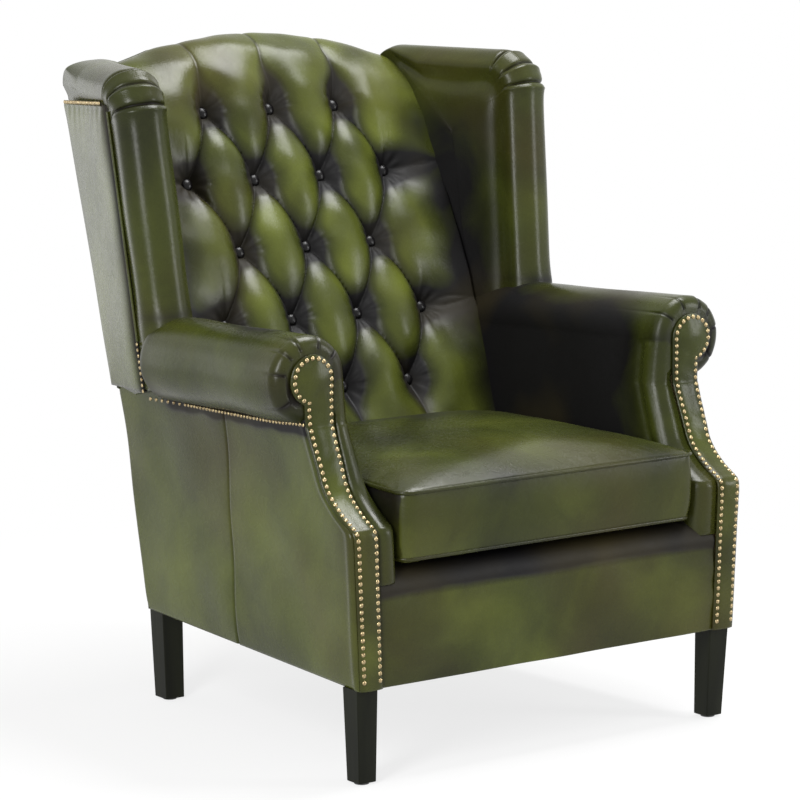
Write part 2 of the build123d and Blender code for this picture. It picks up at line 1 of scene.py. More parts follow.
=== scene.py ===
import math
import bmesh
import bpy
import numpy as np
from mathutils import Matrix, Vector


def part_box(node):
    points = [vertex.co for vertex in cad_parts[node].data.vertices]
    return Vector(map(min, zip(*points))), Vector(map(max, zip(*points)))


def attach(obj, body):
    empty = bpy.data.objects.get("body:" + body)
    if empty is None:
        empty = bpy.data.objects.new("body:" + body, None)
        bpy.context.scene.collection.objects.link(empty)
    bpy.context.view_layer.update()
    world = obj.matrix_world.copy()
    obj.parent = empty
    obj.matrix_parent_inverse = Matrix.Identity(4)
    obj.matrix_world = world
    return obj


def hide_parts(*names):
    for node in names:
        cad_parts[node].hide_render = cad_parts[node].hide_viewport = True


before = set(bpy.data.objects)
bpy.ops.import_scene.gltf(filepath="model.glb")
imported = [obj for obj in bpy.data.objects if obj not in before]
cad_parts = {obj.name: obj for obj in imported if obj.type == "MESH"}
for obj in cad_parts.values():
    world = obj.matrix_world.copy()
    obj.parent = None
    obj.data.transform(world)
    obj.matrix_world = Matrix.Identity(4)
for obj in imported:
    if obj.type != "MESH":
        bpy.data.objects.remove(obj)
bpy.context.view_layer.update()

# The hardwood frame. Posts, rails and corner blocks are sawn beech, glued and screwed, and the
# covers hide them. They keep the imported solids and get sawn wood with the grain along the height.


def material_nodes(name):
    material = bpy.data.materials.new(name)
    material.use_nodes = True
    tree = material.node_tree
    return material, tree, tree.nodes["Principled BSDF"]


def add_node(tree, kind, **values):
    node = tree.nodes.new(kind)
    for key, value in values.items():
        if key in node.inputs:
            node.inputs[key].default_value = value
        else:
            setattr(node, key, value)
    return node


def link(tree, *pairs):
    for out, into in pairs:
        tree.links.new(out, into)


def stretched_coordinates(tree, scale):
    coordinates = add_node(tree, "ShaderNodeTexCoord")
    mapping = add_node(tree, "ShaderNodeMapping", Scale=scale)
    link(tree, (coordinates.outputs["Object"], mapping.inputs["Vector"]))
    return mapping.outputs["Vector"]


def texture(tree, kind, vector, **values):
    node = add_node(tree, "ShaderNodeTex" + kind, **values)
    link(tree, (vector, node.inputs["Vector"]))
    return node


def reckoned(tree, operation, *values, **settings):
    """The result of one sum, of numbers and of values from other nodes."""
    node = add_node(tree, "ShaderNodeMath", operation=operation, **settings)
    for socket, value in zip(node.inputs, values):
        if isinstance(value, float):
            socket.default_value = value
        else:
            link(tree, (value, socket))
    return node.outputs["Value"]


def ranged(tree, value, source, target):
    """A value carried over from one range of numbers to another."""
    node = add_node(tree, "ShaderNodeMapRange")
    for socket, number in zip(("From Min", "From Max", "To Min", "To Max"), (*source, *target)):
        node.inputs[socket].default_value = number
    link(tree, (value, node.inputs["Value"]))
    return node.outputs["Result"]


def ramp(tree, value, stops):
    node = add_node(tree, "ShaderNodeValToRGB")
    elements = node.color_ramp.elements
    while len(elements) < len(stops):
        elements.new(0.5)
    for element, (place, colour) in zip(elements, stops):
        element.position = place
        element.color = (*colour, 1)
    link(tree, (value, node.inputs["Fac"]))
    return node.outputs["Color"]


def bump(tree, height, depth, shader):
    node = add_node(tree, "ShaderNodeBump", Distance=depth)
    link(tree, (height, node.inputs["Height"]), (node.outputs["Normal"], shader.inputs["Normal"]))
    return node


def wood(name, dark, light, grain, roughness, stretch, shine=0.5):
    material, tree, shader = material_nodes(name)
    shader.inputs["Specular IOR Level"].default_value = shine
    vector = stretched_coordinates(tree, stretch)
    streaks = texture(tree, "Noise", vector, Scale=grain, Detail=6.0, Distortion=0.6)
    pores = texture(tree, "Noise", vector, Scale=grain * 6, Detail=3.0)
    colour = ramp(tree, streaks.outputs["Fac"], [(0.3, dark), (0.7, light)])
    link(tree, (colour, shader.inputs["Base Color"]))
    gloss = ranged(tree, pores.outputs["Fac"], (0, 1), (roughness - 0.08, roughness + 0.1))
    link(tree, (gloss, shader.inputs["Roughness"]))
    bump(tree, pores.outputs["Fac"], 0.0002, shader)
    return material


def dress(material, slot, *nodes):
    """Put a finish on solids of the part that stay as they are."""
    for node in nodes:
        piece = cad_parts[node]
        piece.data.materials.clear()
        piece.data.materials.append(material)


beech = wood("sawn_beech", (0.34, 0.22, 0.11), (0.58, 0.42, 0.26), 14, 0.6, (1, 1, 0.12))
timber_ends = ("_post_left", "_post_right", "_rail_left", "_rail_right")
timber = [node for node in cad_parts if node.endswith(timber_ends)]
timber += ["front_rail", "back_rail", "mid_back_rail", "top_back_rail", "corner_blocks"]
dress(beech, "hardwood", *timber)

# Webbing, seat deck, arm boards and dust cover. Woven webbing is tacked to the rails, black lining
# cloth covers the deck and closes the chair from below, and fibre board backs the arms.


def cloth(name, colour, pitch, depth):
    material, tree, shader = material_nodes(name)
    vector = stretched_coordinates(tree, (1 / pitch, 1 / pitch, 1 / pitch))
    across = texture(tree, "Wave", vector, Scale=1.0, Distortion=0.4)
    along = texture(tree, "Wave", vector, Scale=1.0, Distortion=0.4, bands_direction="Y")
    weave = reckoned(tree, "MULTIPLY", across.outputs["Fac"], along.outputs["Fac"])
    wear = texture(tree, "Noise", vector, Scale=0.2, Detail=4.0)
    dark = tuple(0.6 * c for c in colour)
    worn = ramp(tree, wear.outputs["Fac"], [(0.35, dark), (0.65, colour)])
    link(tree, (worn, shader.inputs["Base Color"]))
    shader.inputs["Roughness"].default_value = 0.9
    bump(tree, weave, depth, shader)
    return material


lining = cloth("lining_cloth", (0.03, 0.03, 0.03), 0.0012, 0.0002)
dress(lining, "lining_cloth", "seat_deck", "dust_cover")
jute = cloth("jute_webbing", (0.36, 0.28, 0.17), 0.002, 0.0004)
dress(jute, "webbing", "seat_web", "back_web")
board = wood("fibre_board", (0.32, 0.24, 0.15), (0.45, 0.36, 0.25), 60, 0.8, (1, 1, 1))
dress(board, "tack_board", "arm_board_left", "arm_board_right")

# Legs, bolts and glides. Square tapered legs of hardwood, stained black and satin lacquered, with
# edges eased by hand. A bolt draws each up to its post, and a nylon glide is nailed under it.


def new_piece(name, data):
    piece = bpy.data.objects.new(name, data)
    bpy.context.collection.objects.link(piece)
    return piece


def eased_copy(node, width, material):
    """A copy of a solid of the part with its sharp edges taken off."""
    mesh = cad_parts[node].data.copy()
    piece = new_piece(node + "_eased", mesh)
    shape = bmesh.new()
    shape.from_mesh(mesh)
    bmesh.ops.remove_doubles(shape, verts=shape.verts, dist=1e-5)
    flat = math.radians(1)
    bmesh.ops.dissolve_limit(shape, angle_limit=flat, verts=shape.verts, edges=shape.edges)
    folded = [edge for edge in shape.edges if len(edge.link_faces) == 2]
    sharp = [edge for edge in folded if edge.calc_face_angle() > math.radians(30)]
    bmesh.ops.bevel(shape, geom=sharp, offset=width, segments=3, profile=0.6, affect="EDGES")
    shape.to_mesh(mesh)
    shape.free()
    mesh.materials.clear()
    mesh.materials.append(material)
    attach(piece, "chair")
    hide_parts(node)
    return piece


leg_edge = 0.0018
stain_dark, stain_light = (0.0035, 0.0040, 0.0022), (0.012, 0.0135, 0.0065)
black_wood = wood("black_stained_wood", stain_dark, stain_light, 18, 0.36, (1, 1, 0.1), shine=0.12)
for node in ("front_leg_left", "front_leg_right", "rear_leg_left", "rear_leg_right"):
    eased_copy(node, leg_edge, black_wood)


def mottled(name, dark, light, scale, roughness, depth=0.0001, metallic=0.0):
    """A plain finish with fine specks in its colour, as dust and tarnish leave them."""
    material, tree, shader = material_nodes(name)
    vector = stretched_coordinates(tree, (1, 1, 1))
    specks = texture(tree, "Noise", vector, Scale=scale, Detail=4.0)
    colour = ramp(tree, specks.outputs["Fac"], [(0.35, dark), (0.65, light)])
    link(tree, (colour, shader.inputs["Base Color"]))
    shader.inputs["Metallic"].default_value = metallic
    shader.inputs["Roughness"].default_value = roughness
    bump(tree, specks.outputs["Fac"], depth, shader)
    return material


moulded = mottled("moulded_glide", (0.03, 0.03, 0.03), (0.07, 0.07, 0.07), 400, 0.5)
dress(moulded, "nylon", "foot_glides")
zinc = mottled("zinc_plate", (0.45, 0.45, 0.46), (0.65, 0.65, 0.66), 300, 0.35, metallic=1.0)
dress(zinc, "steel", "leg_bolts")

# The leather. Antique green hide: a lighter green is rubbed through a dark top coat, so crowns
# are bright and olive brown, folds are almost black, and a wax finish gives a sharp gloss.
# The tone that picks these colours also holds painted shade and painted highlights, set piece by
# piece.
mottling = 0.75


def antique_leather(name, fold, body, crown, brown, dullness=0.0):
    """Hide coloured by its tone, from the darkest folds and painted shade at 0 to the most rubbed
    crowns and painted highlights at 1.
    """
    material, tree, shader = material_nodes(name)
    vector = stretched_coordinates(tree, (1, 1, 1))
    tone = add_node(tree, "ShaderNodeAttribute", attribute_name="tone")
    cloud = texture(tree, "Noise", vector, Scale=7.0, Detail=5.0, Roughness=0.55, Distortion=0.5)
    patch = texture(tree, "Noise", vector, Scale=3.2, Detail=3.0, Distortion=0.3)
    rub = reckoned(tree, "MULTIPLY_ADD", cloud.outputs["Fac"], mottling, -mottling / 2)
    # worn is the tone, painted shade and highlights included, plus the rubbed mottling.
    worn = reckoned(tree, "ADD", tone.outputs["Fac"], rub, use_clamp=True)
    green = ramp(tree, worn, [(0.05, fold), (0.5, body), (0.95, crown)])
    share = ranged(tree, patch.outputs["Fac"], (0.45, 0.7), (0, 0.55))
    mix = add_node(tree, "ShaderNodeMix", data_type="RGBA")
    mix.inputs["B"].default_value = (*brown, 1)
    link(tree, (share, mix.inputs["Factor"]), (green, mix.inputs["A"]))
    link(tree, (mix.outputs["Result"], shader.inputs["Base Color"]))
    pores = texture(tree, "Voronoi", vector, Scale=620.0)
    creases = texture(tree, "Noise", vector, Scale=55.0, Detail=4.0, Distortion=1.2)
    gloss = ranged(tree, creases.outputs["Fac"], (0, 1), (0.20, 0.34))
    dull = ranged(tree, tone.outputs["Fac"], (0, 0.3), (dullness, 0))
    link(tree, (reckoned(tree, "ADD", gloss, dull), shader.inputs["Roughness"]))
    grain = bump(tree, pores.outputs["Distance"], 0.0001, shader)
    soft = add_node(tree, "ShaderNodeBump", Distance=0.0003, Strength=0.5)
    link(tree, (creases.outputs["Fac"], soft.inputs["Height"]))
    link(tree, (soft.outputs["Normal"], grain.inputs["Normal"]))
    shader.inputs["Specular IOR Level"].default_value = 0.21
    return material


green_leather = antique_leather(
    "antique_green_leather",
    fold=(0.0020, 0.0017, 0.0020),
    body=(0.035, 0.042, 0.0065),
    crown=(0.096, 0.114, 0.017),
    brown=(0.037, 0.028, 0.006),
    dullness=0.32,
)


def set_tone(mesh, tone):
    attribute = mesh.attributes.new("tone", "FLOAT", "POINT")
    attribute.data.foreach_set("value", np.ravel(tone).astype(np.float32))


def finish_piece(name, vertices, faces, tone, nodes, fill, body="chair"):
    """One padded leather piece: mesh, tone, leather, body and the solids that it stands for."""
    mesh = bpy.data.meshes.new(name)
    mesh.from_pydata(np.asarray(vertices).tolist(), [], faces)
    set_tone(mesh, tone)
    mesh.shade_smooth()
    shape = bmesh.new()
    shape.from_mesh(mesh)
    bmesh.ops.remove_doubles(shape, verts=shape.verts, dist=2e-5)
    many_sided = [face for face in shape.faces if len(face.verts) > 4]
    bmesh.ops.triangulate(shape, faces=many_sided, ngon_method="BEAUTY")
    bmesh.ops.recalc_face_normals(shape, faces=shape.faces)
    shape.to_mesh(mesh)
    shape.free()
    mesh.materials.append(green_leather)
    piece = new_piece(name, mesh)
    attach(piece, body)
    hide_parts(*nodes)


def quads(index):
    a, b, c, d = index[:-1, :-1], index[1:, :-1], index[1:, 1:], index[:-1, 1:]
    return np.stack([a, b, c, d], -1).reshape(-1, 4).tolist()


def rim_of(index):
    return np.concatenate([index[0, :], index[1:, -1], index[-1, -2::-1], index[-2::-1, 0]])


def skin(outer, inner, tone, step=1):
    """A closed cover between two grids: face, underside, a step coarser, and turned-in rim."""
    inner = inner[::step, ::step]
    tones = np.concatenate([np.ravel(tone), np.ravel(tone[::step, ::step])])
    face = np.arange(outer[..., 0].size).reshape(outer.shape[:2])
    under = face.size + np.arange(inner[..., 0].size).reshape(inner.shape[:2])
    rim, low = rim_of(face), rim_of(under)
    faces = quads(face) + [q[::-1] for q in quads(under)]
    for k in range(len(low) - 1):
        turned_in = [*rim[k * step : k * step + step + 1], low[k + 1], low[k]]
        faces.append([int(i) for i in turned_in])
    return np.concatenate([outer.reshape(-1, 3), inner.reshape(-1, 3)]), faces, tones


def rings(points):
    """A closed surface through a row of closed rings, with a cap over each end."""
    count, around = points.shape[:2]
    index = np.arange(count * around).reshape(count, around)
    faces = quads(np.concatenate([index, index[:, :1]], 1))
    faces += [[int(i) for i in index[0]], [int(i) for i in index[-1]]]
    return points.reshape(-1, 3), faces


sides = (("right", 1), ("left", -1))


def both_sides(name, node, vertices, faces, tone, fill):
    """The right-hand piece, and its mirror image on the left."""
    for side, sign in sides:
        turned = np.asarray(vertices) * (sign, 1, 1)
        finish_piece(f"{name}_{side}", turned, faces, tone, [f"{node}_{side}"], fill=fill)


def grid(first, rows, columns):
    """Shares across and up a cover, the first from 0 or -1 to 1 and the second from 0 to 1."""
    return np.meshgrid(np.linspace(first, 1, rows), np.linspace(0, 1, columns), indexing="ij")


front_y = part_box("arm_facing_right")[0][1]


def place(setback, height, x):
    """Points from their distance behind the facings' front, their height and their x."""
    setback, height, x = np.broadcast_arrays(setback, height, x)
    return np.stack([x, front_y + setback, height], -1).astype(float)


def smooth_path(points, steps):
    """A smooth line through a few points, as a soft strip bends through them."""
    p = np.array([points[0]] + list(points) + [points[-1]], float)
    t = np.linspace(0, 1, steps, endpoint=False)[:, None]
    runs = []
    for a, b, c, d in zip(p, p[1:], p[2:], p[3:]):
        bend, twist = 2 * a - 5 * b + 4 * c - d, 3 * b - a - 3 * c + d
        runs.append(0.5 * (2 * b + (c - a) * t + bend * t**2 + twist * t**3))
    return np.concatenate(runs + [p[-1:]])


def run_along(line):
    """How far along a line each of its points lies."""
    return np.concatenate([[0], np.cumsum(np.linalg.norm(np.diff(line, axis=0), axis=1))])


def direction(line):
    way = np.gradient(line, axis=0)
    return way / np.linalg.norm(way, axis=1)[:, None]


def ripple(*coordinates, size, seed):
    """Slow unevenness of hand-laid wadding, mostly between -1 and 1, the same at every run."""
    random = np.random.default_rng(seed)
    total = 0
    for _ in range(7):
        way = random.normal(size=len(coordinates))
        way *= 2 * math.pi / size / np.linalg.norm(way) * random.uniform(0.6, 1.5)
        phase = random.uniform(0, 2 * math.pi)
        total = total + np.sin(sum(w * c for w, c in zip(way, coordinates)) + phase)
    return total / 4


# The side covers. Each side is leather drawn down over thin wadding in two pieces, joined by an
# upright seam, and tacked under the rail, behind the arm's facing and under the arm roll.
base_front_half = 0.357
base_rear_half = 0.307
base_rear_setback = 0.652
side_flare = 0.018
neck_height = 0.536
leg_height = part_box("front_leg_right")[1][2]


def side_x(setback, height):
    plan = base_front_half + (base_rear_half - base_front_half) * setback / base_rear_setback
    return plan + side_flare * (height - leg_height) / (neck_height - leg_height)


elbow_setback = 0.701
elbow_height = 0.496
back_top = 1.011
chair_depth = -2 * front_y


def rear_setback(height):
    """The back of the chair in side view: two straight runs that meet at the elbow."""
    low_rise = (height - leg_height) / (elbow_height - leg_height)
    high_rise = (height - elbow_height) / (back_top - elbow_height)
    low = base_rear_setback + (elbow_setback - base_rear_setback) * low_rise
    high = elbow_setback + (chair_depth - elbow_setback) * high_rise
    return np.where(height < elbow_height, low, high)


knee_points = [(0, 0.14), (0, 0.30), (0, 0.362), (0.0034, 0.378), (0.014, 0.3852), (0.040, 0.4007)]
neck_points = [(0.0699, 0.4281), (0.0877, 0.4661), (0.106, 0.510), (0.111, 0.536), (0.111, 0.66)]
knee_line = smooth_path(knee_points + neck_points, 12)


def knee_setback(height):
    return np.interp(height, knee_line[:, 1], knee_line[:, 0])


scroll_setback = 0.111
scroll_x = 0.362
scroll_height = 0.588
roll_radius = 0.065
arm_rear_setback = 0.540
arm_rear_x = 0.343
arm_rear_height = 0.569


def roll_centre(setback):
    run = (setback - scroll_setback) / (arm_rear_setback - scroll_setback)
    centre_x = scroll_x + (arm_rear_x - scroll_x) * run
    return centre_x, scroll_height + (arm_rear_height - scroll_height) * run


def under_roll(setback):
    return roll_centre(setback)[1] - roll_radius + 0.004


def unit(value):
    return np.clip(value, 0, 1)


def edge_fall(distance, reach):
    """From 0 at a tacked edge to 1 where the wadding is at its full height."""
    return 1 - np.exp(-np.maximum(distance, 0) / reach)


def ridge(offset, width):
    """1 on a line, and rounded off to nothing on both sides of it."""
    return np.exp(-((offset / width) ** 2))


def crease(offset, width):
    """1 on a line, and falling off steeply from there."""
    return np.exp(-np.abs(offset) / width)


wing_foot = 0.504
seam_setback = 0.358
seam_gap = 0.0003
cover = 0.005
side_lap = 0.014
wadding = 0.0045
side_halves = {"side_cover_front": "side_panel_front", "side_cover_rear": "side_panel_rear"}
u, v = grid(0, 90, 110)
for name, node in side_halves.items():
    s = seam_setback * u
    for _ in range(12):
        if node == "side_panel_front":
            z = leg_height + (under_roll(s) + side_lap - leg_height) * v
            start = knee_setback(z) + 0.003
            s = start + (seam_setback - seam_gap - start) * u
        else:
            top = np.minimum(under_roll(s), wing_foot) + side_lap
            z = leg_height + (top - leg_height) * v
            s = seam_setback + (rear_setback(z) - cover - seam_setback) * u
    seam = np.abs(s - seam_setback)
    behind = s - knee_setback(z)
    edges = edge_fall(z - leg_height, 0.02) * edge_fall(0.3 * u + 0.006, 0.012)
    swell = wadding * edges + 0.0012 * edges * ripple(s, z, size=0.16, seed=3)
    swell += 0.0035 * ridge((1 - v) * 0.38, 0.05) * edge_fall(behind, 0.008)
    swell += 0.0026 * ridge(behind - 0.011, 0.007)
    swell += 0.0012 * crease(seam, 0.005) - 0.0040 * crease(seam, 0.0016)
    tone = 0.58 + 0.14 * ripple(s, z, size=0.5, seed=5) - 0.22 * crease(seam, 0.004)
    # Painted light: a lighter band low on the side.
    tone += 0.10 * ridge(z - 0.24, 0.10)
    # Painted shadow: a dark band under the arm roll, fading out towards the rear.
    below = under_roll(s) - z - 0.020 - 0.003 * ripple(s, size=0.09, seed=6)
    tone -= 0.7 / (1 + np.exp(below / 0.0025)) / (1 + np.exp((s - 0.545) / 0.012))
    # Painted shade: darker next to the arm facing.
    tone -= 0.16 * crease(behind, 0.035)
    outer = place(s, z, side_x(s, z) + swell)
    inner = place(s, z, side_x(s, z) - cover)
    both_sides(name, node, *skin(outer, inner, tone), fill=0.3)

# The arms. Each is one leather cover over a stuffed pad: it runs up the inside of the arm, over
# the roll and is tacked under it. At the front it is gathered in pleats round the scroll.
pad_foot = 0.297
pad_outer = 0.045
pad_inner = 0.080
front_lap = 0.003
rim_round = 0.019
roll_end = 0.519
wall_end = 0.596
pocket_turn = 0.3
last_turn = math.radians(-80)
scroll_pleats = (-38, 12, 44, 68, 106, 140)
long_pleats = (68, 140)
long_pleat = 0.030
short_pleat = 0.016
inner_wall, over_roll, pocket = 0, 1, 2


def arm_section(s, kind, rise, turn, tuck, inset):
    """Points round the arm pad: up its inner wall, over the roll and down its pocket."""
    centre_x, centre_z = roll_centre(s)
    radius = roll_radius - inset
    foot_x = side_x(s, pad_foot) - pad_inner + inset
    wall_x = foot_x + (centre_x - radius - foot_x) * rise
    wall_z = pad_foot + (centre_z - pad_foot) * rise
    roll_x = centre_x + radius * np.cos(turn)
    roll_z = centre_z + radius * np.sin(turn)
    seam_x = centre_x + radius * math.cos(last_turn)
    seam_z = centre_z + radius * math.sin(last_turn)
    pocket_x = side_x(s, seam_z) - pad_outer
    back_x = seam_x + (pocket_x - seam_x) * unit(tuck / pocket_turn)
    back_z = seam_z + (pad_foot - seam_z) * unit((tuck - pocket_turn) / (1 - pocket_turn))
    return np.choose(kind, [wall_x, roll_x, back_x]), np.choose(kind, [wall_z, roll_z, back_z])


knee_rows = knee_line[:, 1]
knee_rows = knee_rows[(knee_rows > pad_foot) & (knee_rows < scroll_height - 0.02)]
wall_rise = (knee_rows - pad_foot) / (scroll_height - pad_foot)
wall_rise = np.concatenate([[0], wall_rise, np.linspace(0.93, 1, 5)[:-1]])
roll_turn = np.linspace(math.pi, last_turn, 190)
pocket_tuck = np.linspace(0, 1, 44)[1:]
walls, rolls, tucks = len(wall_rise), len(roll_turn), len(pocket_tuck)
kind = np.repeat([inner_wall, over_roll, pocket], [walls, rolls, tucks])
rise = np.concatenate([wall_rise, np.ones(rolls), np.zeros(tucks)])
turn = np.concatenate([np.full(walls, math.pi), roll_turn, np.full(tucks, last_turn)])
tuck = np.concatenate([np.zeros(walls + rolls), pocket_tuck])
on_wall = kind == inner_wall
on_roll = kind == over_roll
inside = on_wall + on_roll * unit((turn - 1.9) / 1.1)
arm_end = roll_end + (wall_end - roll_end) * unit(2 * inside)

rim = np.linspace(0, math.pi / 2, 10)
runs = np.linspace(0, 1, 120)[1:]
rear_round = 0.018 * (1 - np.sqrt(1 - unit((runs - 0.955) / 0.045) ** 2))
insets = np.concatenate([rim_round * (1 - np.sin(rim)), rear_round])
leads = np.concatenate([rim_round * (1 - np.cos(rim)), np.full(len(runs), rim_round)])
backs = np.concatenate([np.zeros(len(rim)), runs**1.15])
ring_points = []
ring_tone = []
for inset, lead, back in zip(insets, leads, backs):
    s = np.full(len(kind), scroll_setback)
    for _ in range(10):
        x, z = arm_section(s, kind, rise, turn, tuck, inset)
        start = knee_setback(z) + front_lap + lead
        s = start + (arm_end - start) * back
    behind = s - knee_setback(z)
    swell = 0.0022 * ripple(s, turn * roll_radius, z * 0.5, size=0.22, seed=11)
    swell *= edge_fall(behind, 0.03)
    swell += 0.005 * np.sin(np.pi * rise * on_wall) * edge_fall(behind, 0.03)
    swell += 0.0022 * on_wall * ridge(behind - 0.026, 0.007)
    swell -= 0.0030 * on_wall * ridge(behind - 0.042, 0.006)
    dip = 0
    for angle in scroll_pleats:
        gap = (turn - math.radians(angle)) * (roll_radius - inset)
        length = long_pleat if angle in long_pleats else short_pleat
        near = crease(np.maximum(behind - front_lap, 0), length) * on_roll
        swell += near * (0.0024 * crease(gap - 0.005, 0.006) - 0.0062 * crease(gap, 0.0016))
        dip = dip + near * crease(gap, 0.0035)
    out_x = np.choose(kind, [-1 + 0 * turn, np.cos(turn), 0 * turn])
    out_z = np.choose(kind, [0 * turn, np.sin(turn), 0 * turn])
    pull = min(1, lead / rim_round)
    x = x + out_x * swell * pull
    z = z + out_z * swell * pull
    s = s + (1 - pull) * np.maximum(-swell, 0) * on_roll * 0.8
    ring_points.append(place(s, z, x))
    crown = unit(np.sin(turn)) * on_roll
    tone = 0.38 + 0.12 * crown + 0.12 * ripple(s, turn * roll_radius, size=0.3, seed=12)
    # Painted shade: the inner wall darker behind its front edge.
    tone = tone - 0.44 * inside * edge_fall(behind - 0.045, 0.04) - 0.34 * unit(dip)
    # Painted shade: the top of the roll darker behind its front.
    top_of_roll = unit((turn - 1.1) / 0.4) * on_roll
    tone = tone - 0.26 * top_of_roll * edge_fall(behind - 0.06, 0.08)
    # Painted shade: the roll darker where it meets the wing at its rear end.
    tone = tone - 0.42 * crease(arm_end - s, 0.03) * on_roll
    # Painted shade: a darker band round the roll's front rim.
    tone = tone - 0.16 * ridge(behind, 0.028) * on_roll
    # Painted highlight: a lighter streak on the inner wall just behind its front.
    tone = tone + 0.16 * ridge(behind - 0.027, 0.014) * on_wall
    ring_tone.append(tone)
both_sides("arm_cover", "arm_pad", *rings(np.array(ring_points)), ring_tone, fill=0.8)

# The arm facings. A narrow leather strip over a thin pad closes the front of each arm, from the
# foot of the base up the knee curve to a round head in the scroll. Brass nails hold its edges.
facing_head = 0.038
facing_foot = 0.040
facing_knee = 0.043
knee_height = 0.384
front_line = knee_line[knee_line[:, 1] > leg_height + 0.001]
front_line = front_line[front_line[:, 1] < scroll_height - 0.03]
head_rows = scroll_height + (facing_head - 0.0002) * np.sin(np.linspace(-0.85, math.pi / 2, 30))
head_line = np.stack([np.full(len(head_rows), scroll_setback), head_rows], -1)
front_line = np.concatenate([[(0, leg_height)], front_line, head_line])


def facing_edges(height):
    heights = (leg_height, knee_height, scroll_height)
    knee_edge = side_x(0, knee_height) - facing_knee
    edges = (base_front_half - facing_foot, knee_edge, scroll_x - facing_head)
    inner = np.interp(height, heights, edges)
    outer = side_x(0, height)
    bulge = np.sqrt(np.maximum(facing_head**2 - (height - scroll_height) ** 2, 0))
    in_head = np.abs(height - scroll_height) < facing_head
    outer = np.where(in_head & (scroll_x + bulge > outer), scroll_x + bulge, outer)
    above = height > scroll_height
    return np.where(above, scroll_x - bulge, inner), np.where(above, scroll_x + bulge, outer)


def front_normal(line):
    way = direction(line)
    return np.stack([-way[:, 1], way[:, 0]], -1)


normal = front_normal(front_line)
w = np.linspace(-1, 1, 17)
s = front_line[:, :1]
z = front_line[:, 1:]
left, right = facing_edges(z)
x = left + (right - left) * (w + 1) / 2
head = ridge(z - scroll_height, 0.026)
in_head = np.hypot(x - scroll_x, z - scroll_height) / facing_head
reach = np.minimum(np.where(z > scroll_height, in_head, np.abs(w)), 1)
pad = 0.0034 * (1 - reach**3) + 0.0034 * head * (1 - reach**2) ** 2
pad = pad + 0.0004 * ripple(s * 0 + z, x, size=0.03, seed=21)
face = place(s + normal[:, :1] * pad, z + normal[:, 1:] * pad, x)
under = place(s - normal[:, :1] * front_lap, z - normal[:, 1:] * front_lap, x)
tone = 0.52 - 0.2 * np.abs(w) ** 4 + 0.12 * ripple(z, x, size=0.1, seed=22)
both_sides("arm_facing_cover", "arm_facing", *skin(face, under, tone), fill=0.3)

# The wings. Each is a stuffed slab on its own posts, flared outwards, with a thick rolled front.
# The cover is gathered in three pleats at the upper front corner. A plain panel closes its outside.
wing_flare = 0.29
wing_lean = 0.09
wing_plane = 0.490
wing_thick = 0.078
wing_top = 1.008
wing_foot_setback = 0.478
wing_top_setback = 0.546
wing_front_corner = 0.075
wing_rear_corner = 0.034
wing_rear_gap = 0.0014
wing_round = 0.034
wing_normal = np.array([1, wing_flare, -wing_lean]) / math.sqrt(1 + wing_flare**2 + wing_lean**2)


def wing_place(setback, height, depth):
    x = wing_plane - wing_flare * setback + wing_lean * height
    return place(setback, height, x) - np.broadcast_to(depth, x.shape)[..., None] * wing_normal


def rounded_corner(before, corner, after, radius, steps):
    a = (np.array(before) - corner) / np.linalg.norm(np.array(before) - corner)
    b = (np.array(after) - corner) / np.linalg.norm(np.array(after) - corner)
    half = math.acos(np.clip(a @ b, -1, 1)) / 2
    centre = corner + (a + b) / np.linalg.norm(a + b) * radius / math.sin(half)
    start = corner + a * radius / math.tan(half) - centre
    sense = np.sign(a[1] * b[0] - a[0] * b[1])
    angles = np.linspace(0, math.pi - 2 * half, steps) * sense
    across = centre[0] + start[0] * np.cos(angles) - start[1] * np.sin(angles)
    up = centre[1] + start[0] * np.sin(angles) + start[1] * np.cos(angles)
    return np.stack([across, up], -1)


def wing_front(height, top):
    """Setback of the wing's front edge, which leans back from its foot to its top."""
    rise = (height - wing_foot) / (top - wing_foot)
    return wing_foot_setback + (wing_top_setback - wing_foot_setback) * rise


foot_front = np.array([wing_foot_setback + 0.003, wing_foot + 0.026])
top_front = np.array([wing_top_setback, wing_top])
top_rear = np.array([float(rear_setback(wing_top)) - wing_rear_gap, wing_top])
foot_rear = np.array([float(rear_setback(wing_foot)) - wing_rear_gap, wing_foot])
front_steps, corner_steps = 110, 70
front_corner = rounded_corner(foot_front, top_front, top_rear, wing_front_corner, corner_steps)
rear_corner = rounded_corner(top_front, top_rear, foot_rear, wing_rear_corner, 24)
front_run = np.linspace(0, 1, front_steps, endpoint=False)[:, None]
top_run = np.linspace(0, 1, 50)[1:-1, None]
rear_run = np.linspace(0, 1, 60)[1:, None]
outline = np.concatenate(
    [
        foot_front + (front_corner[0] - foot_front) * front_run,
        front_corner,
        front_corner[-1] + (rear_corner[0] - front_corner[-1]) * top_run,
        rear_corner,
        rear_corner[-1] + (foot_rear - rear_corner[-1]) * rear_run,
    ]
)
along = run_along(outline)
way = direction(outline)
inward = np.stack([way[:, 1], -way[:, 0]], -1)
spine_z = np.clip(outline[:, 1], wing_foot, wing_top - 0.14)
spine = np.stack([(wing_front(spine_z, wing_top) + rear_setback(spine_z)) / 2, spine_z], -1)
spine[along < 0.02, 1] = wing_foot
wing_rows = [(wing_round * (1 - math.cos(t)), 0) for t in np.linspace(0, math.pi / 2, 12)]
wing_rows += [(wing_round, share) for share in np.linspace(0, 1, 26)[1:]]
corner_start = along[front_steps - 1]
corner_length = along[front_steps - 1 + corner_steps] - corner_start
wing_pleats = [corner_start + corner_length * share for share in (0.18, 0.52, 0.86)]
panel_top = 0.951
panel_inset = 0.054


